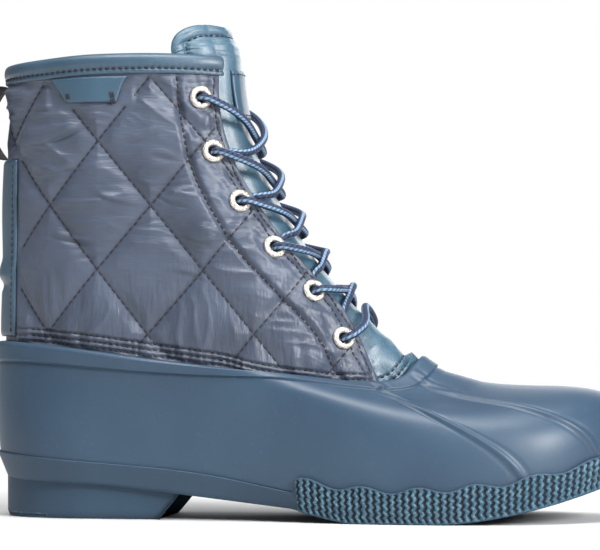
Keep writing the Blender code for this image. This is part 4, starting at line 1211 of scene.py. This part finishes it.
def make_binding_skin():
    """The binding, on a section of depths under the collar and distances out. Returns its row of stitches."""
    deep = BINDING_HEIGHT
    corners = soften(np.array((
        (deep, 0.0004), (deep, 0.0011), (deep - 0.0012, 0.0015), (deep - 0.0024, 0.0008),
        (deep - 0.0036, 0.0017), (deep * 0.35, 0.0021), (0.0, 0.0016), (-0.0012, -0.0004), (-0.0014, -0.0026),
        (-0.0002, -0.0044),
        (deep * 0.4, -0.0046), (deep, -0.0043), (deep, -0.0034), (0.0030, -0.0034), (0.0022, 0.0004),
    )))
    edge = float(edge_around(1.0)) + 0.006
    places = np.linspace(-edge, edge, 361)
    speed = rise_over(shaft_face, places, 1.0)
    arc = arc_at(places, np.ones_like(places))
    pinch = 0.00012 * np.cos(2 * math.pi * arc / 0.0030)
    soft = 0.0004 * (plain_noise(arc / 0.011 + (places > 0) * 40, 0 * arc, 31) - 0.5)
    table = []
    for depth, away in corners:
        near = hump(depth - deep + 0.0024, 0.0030) * (away > 0)
        shift = away + (pinch * near + soft * (away > 0.0008) * (1 - near))
        table.append(offset(shaft_face, places, 1 - max(depth, 0.0) / speed, shift) + UP * max(-depth, 0.0))
    shape = lay_table(table + table[:1])
    close_ends(shape)
    shape_piece("collar_binding_skin", shape, TRIM_LEATHER, ("collar_binding",))
    inner = places[3:-3]
    return line_on(shaft_face, inner, 1 - (deep - 0.0024) / rise_over(shaft_face, inner, 1.0), 0.0012)


def patch_skin(node, face, shares, reach_at, middle, lift, thick, finish, bulge):
    """A soft-edged patch on a face. reach_at gives half its width, in places, at each height share."""
    columns = 60
    spread = np.linspace(-1.0, 1.0, columns + 1)
    reach = np.array([reach_at(share) for share in shares])[:, None]
    up = shares[:, None]
    part = (up - shares[0]) / (shares[-1] - shares[0])
    end = np.minimum(np.arange(len(shares)), np.arange(len(shares))[::-1])[:, None]
    ease = np.minimum(1.0, (1 - np.abs(spread)) * columns / 4) * np.minimum(1.0, (end + 0.01) / 2)
    places = middle + spread * reach
    thick = thick * (0.35 + 0.65 * np.sqrt(ease)) + bulge(spread, part)
    shape = lay_table(offset(face, places, up, lift + thick), False)
    take_in(shape, lay_table(offset(face, places, up, lift - 0.0002), False))
    bmesh.ops.bridge_loops(shape, edges=open_edges(shape))
    return shape_piece(node + "_skin", shape, finish, (node,))


def patch_bulge(spread, _):
    return 0.0002 * (1 - spread**2)


LABEL_MAKE = (LABEL_THICK, PATCH_LEATHER, patch_bulge)


def stay_bulge(spread, up):
    fold = 0.0016 * hump(up - 0.36, 0.10) - 0.0013 * hump(up - 0.30, 0.05)
    return fold * (1 - spread**2) + 0.0006 * (1 - spread**4) + 0.0003 * np.cos(9 * up + 2 * spread)


def stay_reach(share):
    return place_beside_heel(float(share), STAY_WIDTH / 2)


def make_trims():
    stitches = [make_binding_skin()]
    rows = np.linspace(STAY_FOOT, STAY_TOP, 90)
    patch_skin("backstay", shaft_face, rows, stay_reach, 0.0, 0.0004, STAY_THICK, TRIM_LEATHER, stay_bulge)
    edge = np.array([stay_reach(share) for share in rows[2:-2]]) * (1 - 0.0016 / (STAY_WIDTH / 2))
    stitches += [line_on(shaft_face, side * edge, rows[2:-2], 0.0019) for side in (-1, 1)]

    top = float(binding_share(np.array(SIDE_LABEL_PLACE))) - SIDE_LABEL_DROP / SHAFT_HEIGHT
    pace = pace_over(shaft_face, SIDE_LABEL_PLACE, top)
    tall = SIDE_LABEL_HEIGHT / SHAFT_HEIGHT

    def label_reach(share):
        part = (top - share) / tall
        return (SIDE_LABEL_TOP + (SIDE_LABEL_FOOT - SIDE_LABEL_TOP) * part**0.8) / 2 / pace

    shares = np.linspace(top, top - tall, 24)
    patch_skin("side_label", shaft_face, shares, label_reach, -SIDE_LABEL_PLACE, 0.0005, *LABEL_MAKE)
    tacks = []
    up = np.array((top - tall * 0.60, top - tall * 0.98))
    for side in (-1, 1):
        for shift in (-0.0007, 0.0, 0.0007):
            at = -SIDE_LABEL_PLACE + side * label_reach(top - tall * 0.8) * 0.80 + shift / pace
            tacks.append(line_on(shaft_face, at, up, 0.0014))
    sew("label_tacks", tacks, 0.0030, 0.0030)

    half = TONGUE_LABEL_WIDTH / 2 / pace_over(tongue_face, 0.0, 0.95)
    shares = 1 - (np.linspace(0.0, TONGUE_LABEL_HEIGHT, 26) + TONGUE_LABEL_DROP) / SHAFT_HEIGHT
    patch_skin("tongue_label", tongue_face, shares, lambda share: half, 0.0, 0.0007, *LABEL_MAKE)
    across = np.linspace(-1, 1, 30) * half * 0.94
    stitches += [line_on(tongue_face, across, shares[row], 0.0016) for row in (2, -3)]
    sew("trim_stitches", stitches, 0.0030, 0.0023)


def make_loop_skin():
    """Black webbing, bowed off the back of the shaft, its ends tucked under binding and backstay."""
    drop = np.linspace(0.0, 1.0, 81)
    back = shaft_face(0.0, 1 - (LOOP_LENGTH * drop + BINDING_HEIGHT + 2 * GAP) / SHAFT_HEIGHT)
    away = LOOP_SEAT + LOOP_BOW * np.sin(math.pi * drop) ** 0.8
    outline = soften(np.array((
        (-1.0, 0.0), (-1.0, 1.0), (-0.5, 1.1), (0.0, 1.0), (0.5, 1.1), (1.0, 1.0), (1.0, 0.0), (0.0, 0.0),
    )))
    table = []
    for wide, deep in np.concatenate([outline, outline[:1]]):
        x = back[:, 0] - away - LOOP_THICK * deep
        table.append(np.stack([x, np.full_like(x, wide * LOOP_WIDTH / 2), back[:, 2]], -1))
    shape = lay_table(table)
    close_ends(shape)
    return shape_piece("pull_loop_skin", shape, WEBBING, ("pull_loop",))


# Tongue and insole
def make_tongue_skin():
    spread = TONGUE_REACH * np.sin(np.linspace(-math.pi / 2, math.pi / 2, 141))
    stretches = ((-0.9, -0.3, 3), (0.004, 0.14, 60), (0.14, 1.0, 170), (1.0, 2.0, 60))
    shares = np.unique(np.concatenate([np.linspace(*stretch) for stretch in stretches]))
    up = shares[:, None]
    front = offset(tongue_face, spread, up, np.where(up > 0, tongue_depth(spread, up), 0.0))
    back = offset(tongue_face, spread, up, -TONGUE_THICK)
    top = (front[-1] + back[-1]) / 2 + UP * 0.0009
    shape = lay_table(np.concatenate([front, top[None], back[::-6], back[:1]]), False)
    close_ends(shape)
    shape_piece("tongue_skin", shape, LEATHER, ("tongue",))
    across = np.linspace(-0.62, 0.62, 160)
    lines = [(across, distance / TONGUE_LENGTH) for distance in VAMP_ROWS[1:]]
    turn = np.linspace(-0.86, 0.86, 120)
    lines.append((turn, 2 - ROLL_ROW / (TONGUE_RISE * np.sqrt(1 - turn**4))))
    lines += [(side * (1 - ROLL_ROW / TONGUE_HALF), np.linspace(0.93, 1.45, 40)) for side in (-1, 1)]
    rows = [line_on(tongue_face, *line, 0.0001, tongue_depth) for line in lines]
    sew("tongue_stitches", rows, 0.0029, 0.0022)


def make_insole_skin():
    places = np.linspace(INSOLE_HEEL, INSOLE_TOE, 61)
    inner, outer = (
        offset(shell_face, side * places, INSOLE_SHARE, -(SHELL_WALL + INSOLE_CLEAR)) for side in (1, -1)
    )
    x = np.minimum(inner[:, 0], outer[:, 0])
    deck = seam_height(x) + GAP
    rows = []
    for share in np.linspace(0.0, 1.0, 21):
        y = outer[:, 1] * (1 - share) + inner[:, 1] * share
        rows.append(np.stack([x, y, deck + INSOLE_THICK + 0.0012 * (2 * share - 1) ** 4], -1))
    rows += [np.stack([x, side[:, 1], deck], -1) for side in (inner, outer)]
    shape = lay_table(rows + rows[:1])
    close_ends(shape)
    return shape_piece("insole_skin", shape, LINING, ("insole",))


# Eyelets
def make_eyelet_rings():
    profile = (
        (0.0025, -0.0026), (0.0024, 0.0002), (0.0025, 0.0011), (0.0029, 0.0016), (0.0035, 0.0019),
        (0.0042, 0.0018), (0.0048, 0.0014), (0.0052, 0.0009), (0.0053, 0.0005), (0.0050, 0.0003),
        (0.0030, 0.0003), (0.0029, -0.0026),
    )
    for side, side_name in ((-1, "lateral"), (1, "medial")):
        for index in range(EYELETS):
            shape = bmesh.new()
            corners = [shape.verts.new((radius, 0.0, height)) for radius, height in profile]
            edges = [shape.edges.new((a, b)) for a, b in zip(corners, corners[1:] + corners[:1])]
            bmesh.ops.spin(
                shape, geom=corners + edges, cent=(0, 0, 0), axis=(0, 0, 1), angle=2 * math.pi, steps=40,
                use_merge=True, use_duplicate=False,
            )
            bmesh.ops.remove_doubles(shape, verts=shape.verts, dist=1e-6)
            bmesh.ops.transform(shape, matrix=eyelet_frame(index, side), verts=shape.verts)
            name = f"eyelet_{side_name}_{index + 1}"
            shape_piece(name + "_ring", shape, NICKEL, (name,))


# Lace
THROUGH = (-0.0052, -0.0030, -0.0008, 0.0010)
LACE_OVER = 2.6
LACE_UNDER = 0.6
SETTLED = HOVER - 0.0006


def through_eyelet(index, side, heights=THROUGH):
    """Points along an eyelet's own axis."""
    frame_here = eyelet_frame(index, side)
    return np.array([frame_here @ Vector((0, 0, height)) for height in heights])


def eased(knots, values, at):
    """A smooth rise and fall through the values that never swings past them."""
    knots, values = np.asarray(knots, float), np.asarray(values, float)
    slopes = np.diff(values) / np.diff(knots)
    first, second = slopes[:-1], slopes[1:]
    same = first * second > 0
    mean = np.where(same, 2 * first * second / np.where(same, first + second, 1.0), 0.0)
    slope = np.concatenate([[slopes[0]], mean, [slopes[-1]]])
    i = np.clip(np.searchsorted(knots, at) - 1, 0, len(knots) - 2)
    step = knots[i + 1] - knots[i]
    t = (at - knots[i]) / step
    low = (1 + 2 * t) * (1 - t) ** 2 * values[i] + t * (1 - t) ** 2 * step * slope[i]
    return low + t**2 * (3 - 2 * t) * values[i + 1] + t**2 * (t - 1) * step * slope[i + 1]


def over_throat(side, legs):
    """A path over the shaft's face. Legs: place counted on past the toe line, height share, distance out."""
    turn, share, away = zip(*legs)
    at = np.linspace(turn[0], turn[-1], 90)
    places = np.where(at > 1, -side * (2 - at), side * at)
    return offset(shaft_face, places, eased(turn, share, at), eased(turn, away, at))


def lace_strand(index, side, above):
    """One strand: out of an eyelet, over the throat, and under the far edge to the next eyelet's back."""
    share, place = eyelet_spot(index, side)
    far_share = share_at_depth(EYELET_FIRST + EYELET_PITCH * (index + TAIL_FALL - TAIL_STEP * index))
    next_share, next_place = eyelet_spot(index + 1, -side)
    edge, far_edge = float(edge_around(share)), float(edge_around(far_share))
    near, middle, far = (share - part * (share - far_share) for part in (0.14, 0.72, 0.94))
    across = over_throat(side, (
        (abs(place) + 0.010, share, SETTLED), (edge, near, OVER_EDGE),
        (1.0, middle, LACE_RADIUS * (LACE_OVER if above else LACE_UNDER)),
        (2 - far_edge - 2 * TAIL_HIDE, far, TAIL_SETTLE),
        (2 - far_edge - TAIL_HIDE / 2, far_share, UNDER_EDGE - 0.0004),
        (2 - abs(next_place) - 0.020, next_share + 0.02, -UPPER_WALL - LACE_RADIUS - 0.0006),
    ))
    end = through_eyelet(index + 1, -side, THROUGH[:1])
    return np.concatenate([through_eyelet(index, side), across, end])


def smooth_path(points, spacing=0.0006, rounds=14):
    """An even path through the points, with its bends eased, most of all over the throat."""
    run = length_along(points)
    path = read_line(np.linspace(0.0, run[-1], max(16, int(run[-1] / spacing))), run, points)
    free = np.linspace(0.0, 1.0, len(path))
    free = (smooth_step(0.22, 0.42, free) * (1 - smooth_step(0.66, 0.84, free)))[1:-1, None]
    for step in range(9 * rounds):
        eased_path = path[1:-1] / 2 + (path[:-2] + path[2:]) / 4
        path[1:-1] += (eased_path - path[1:-1]) * (1.0 if step < rounds else free)
    return path


def make_tube(path, radius, steps=10):
    """A round tube along a smooth path, with turns and length on its map."""
    ahead = unit(np.gradient(path, axis=0))
    side = np.cross(ahead[0], (0.0, 1.0, 0.1))
    sides = []
    for way in ahead:
        side = unit(side - way * np.dot(side, way))
        sides.append(side)
    sides = np.array(sides)
    turn = np.linspace(0, 2 * math.pi, steps + 1)[:, None, None]
    table = path + radius * (np.cos(turn) * sides + np.sin(turn) * np.cross(ahead, sides))
    wrap = np.broadcast_arrays(np.linspace(0, 1, steps + 1)[:, None], length_along(path) / 0.0022)
    return lay_table(table, False, None, np.stack(wrap, -1))


def make_lace():
    """One lace, from behind an upper eyelet down one way, through the lowest bar and up the other way."""
    share, place = eyelet_spot(EYELETS - 1, 1)
    edge = float(edge_around(share))
    bar = over_throat(-1, (
        (place + 0.010, share, SETTLED), (edge, share + BAR_RISE / 3, OVER_EDGE),
        (1.0, share + BAR_RISE, LACE_RADIUS + LACE_CLEAR),
        (2 - edge, share + BAR_RISE / 3, OVER_EDGE), (2 - place - 0.010, share, SETTLED),
    ))
    first, last = (through_eyelet(EYELETS - 1, side) for side in (-1, 1))
    down = [lace_strand(index, (1, -1)[index % 2], index % 2 == 0) for index in range(EYELETS - 1)]
    back = [lace_strand(index, (-1, 1)[index % 2], index % 2 == 1)[::-1] for index in range(EYELETS - 1)]
    legs = [*down, np.concatenate([first, bar, last[::-1]]), *back[::-1]]
    path = np.concatenate([smooth_path(leg)[1:] for leg in legs])
    for _ in range(9):
        path[1:-1] = path[1:-1] / 2 + (path[:-2] + path[2:]) / 4
    tube = make_tube(path, LACE_RADIUS)
    bmesh.ops.remove_doubles(tube, verts=tube.verts, dist=1e-6)
    close_ends(tube)
    nodes = [f"lace_crossing_{index + 1}" for index in range(EYELETS - 1)] + ["lace_bar"]
    return shape_piece("lace", tube, CORD, nodes)


make_shell_skin()
make_sole_skin()
make_shaft_skin()
shaft_stitches()
make_trims()
make_loop_skin()
make_tongue_skin()
make_insole_skin()
make_eyelet_rings()
make_lace()


# Floor, light and camera
def make_floor():
    """A round paper floor with a painted glow that rises outward until it meets the white around it."""
    turn = np.linspace(0.0, 2 * math.pi, 65)
    reach = 1.6 * np.linspace(0.0, 1.0, 25)[:, None] ** 1.5
    shape = lay_table(np.stack([0.1 + reach * np.cos(turn), reach * np.sin(turn), 0 * reach * turn], -1))
    for face in shape.faces:
        if face.normal.z < 0:
            face.normal_flip()
    mesh = bpy.data.meshes.new("floor")
    shape.to_mesh(mesh)
    shape.free()
    finish = Finish("pale studio paper", Emission_Strength=1.0)
    tooth = finish.noise(60.0, 2.0)
    away = finish.node("ShaderNodeVectorMath", {"operation": "LENGTH"}, {0: finish.spot}, "Value")
    finish.set(
        Base_Color=finish.blend(tooth, tint(206, 206, 206), tint(209, 209, 209)),
        Roughness=0.85 + tooth * 0.05,
        # Painted light: the floor glows by its own emission, more and more away from the middle.
        Emission_Color=finish.blend(finish.between(away, 0.40, 1.05), (0.0, 0.0, 0.0), (1.0, 1.0, 1.0)),
    )
    mesh.materials.append(finish.material)
    mesh.shade_smooth()
    paper = bpy.data.objects.new("floor", mesh)
    bpy.context.scene.collection.objects.link(paper)


def add_light(name, spot, size, power):
    light = bpy.data.lights.new(name, "AREA")
    light.shape = "RECTANGLE"
    light.size, light.size_y = size
    light.energy = power
    lamp = bpy.data.objects.new(name, light)
    lamp.location = spot
    lamp.rotation_euler = (Vector(BOOT_MIDDLE) - Vector(spot)).to_track_quat("-Z", "Y").to_euler()
    bpy.context.scene.collection.objects.link(lamp)


BOOT_MIDDLE = (0.10, 0.0, 0.10)
WHITE_SEEN = 1.0
WHITE_LIT = 0.27

make_floor()
add_light("overhead", (0.10, -0.45, 1.25), (0.7, 0.6), 14.0)
add_light("key", (1.40, -1.05, 0.75), (0.45, 0.6), 38.0)
add_light("floor", (0.10, -0.2, 2.6), (2.4, 2.0), 42.0)
add_light("inner side", (0.30, 1.30, 0.45), (0.8, 0.6), 4.0)

# The world is white to the camera and dimmer to the boot.
world = bpy.data.worlds.new("studio")
world.use_nodes = True
sky = world.node_tree.nodes["Background"]
sky.inputs["Color"].default_value = (1.0, 1.0, 1.0, 1.0)
seen = world.node_tree.nodes.new("ShaderNodeLightPath")
level = world.node_tree.nodes.new("ShaderNodeMath")
level.operation = "MULTIPLY_ADD"
level.inputs[1].default_value = WHITE_SEEN - WHITE_LIT
level.inputs[2].default_value = WHITE_LIT
world.node_tree.links.new(seen.outputs["Is Camera Ray"], level.inputs[0])
world.node_tree.links.new(level.outputs[0], sky.inputs["Strength"])
bpy.context.scene.world = world
bpy.context.scene.view_settings.view_transform = "Standard"

camera = bpy.data.cameras.new("camera")
camera.lens = 234.8
camera.sensor_width = 36.0
eye = bpy.data.objects.new("camera", camera)
eye.location = (0.3490, -1.7825, 0.1113)
eye.rotation_euler = (math.radians(90), 0.0, math.radians(8))
bpy.context.scene.collection.objects.link(eye)
bpy.context.scene.camera = eye
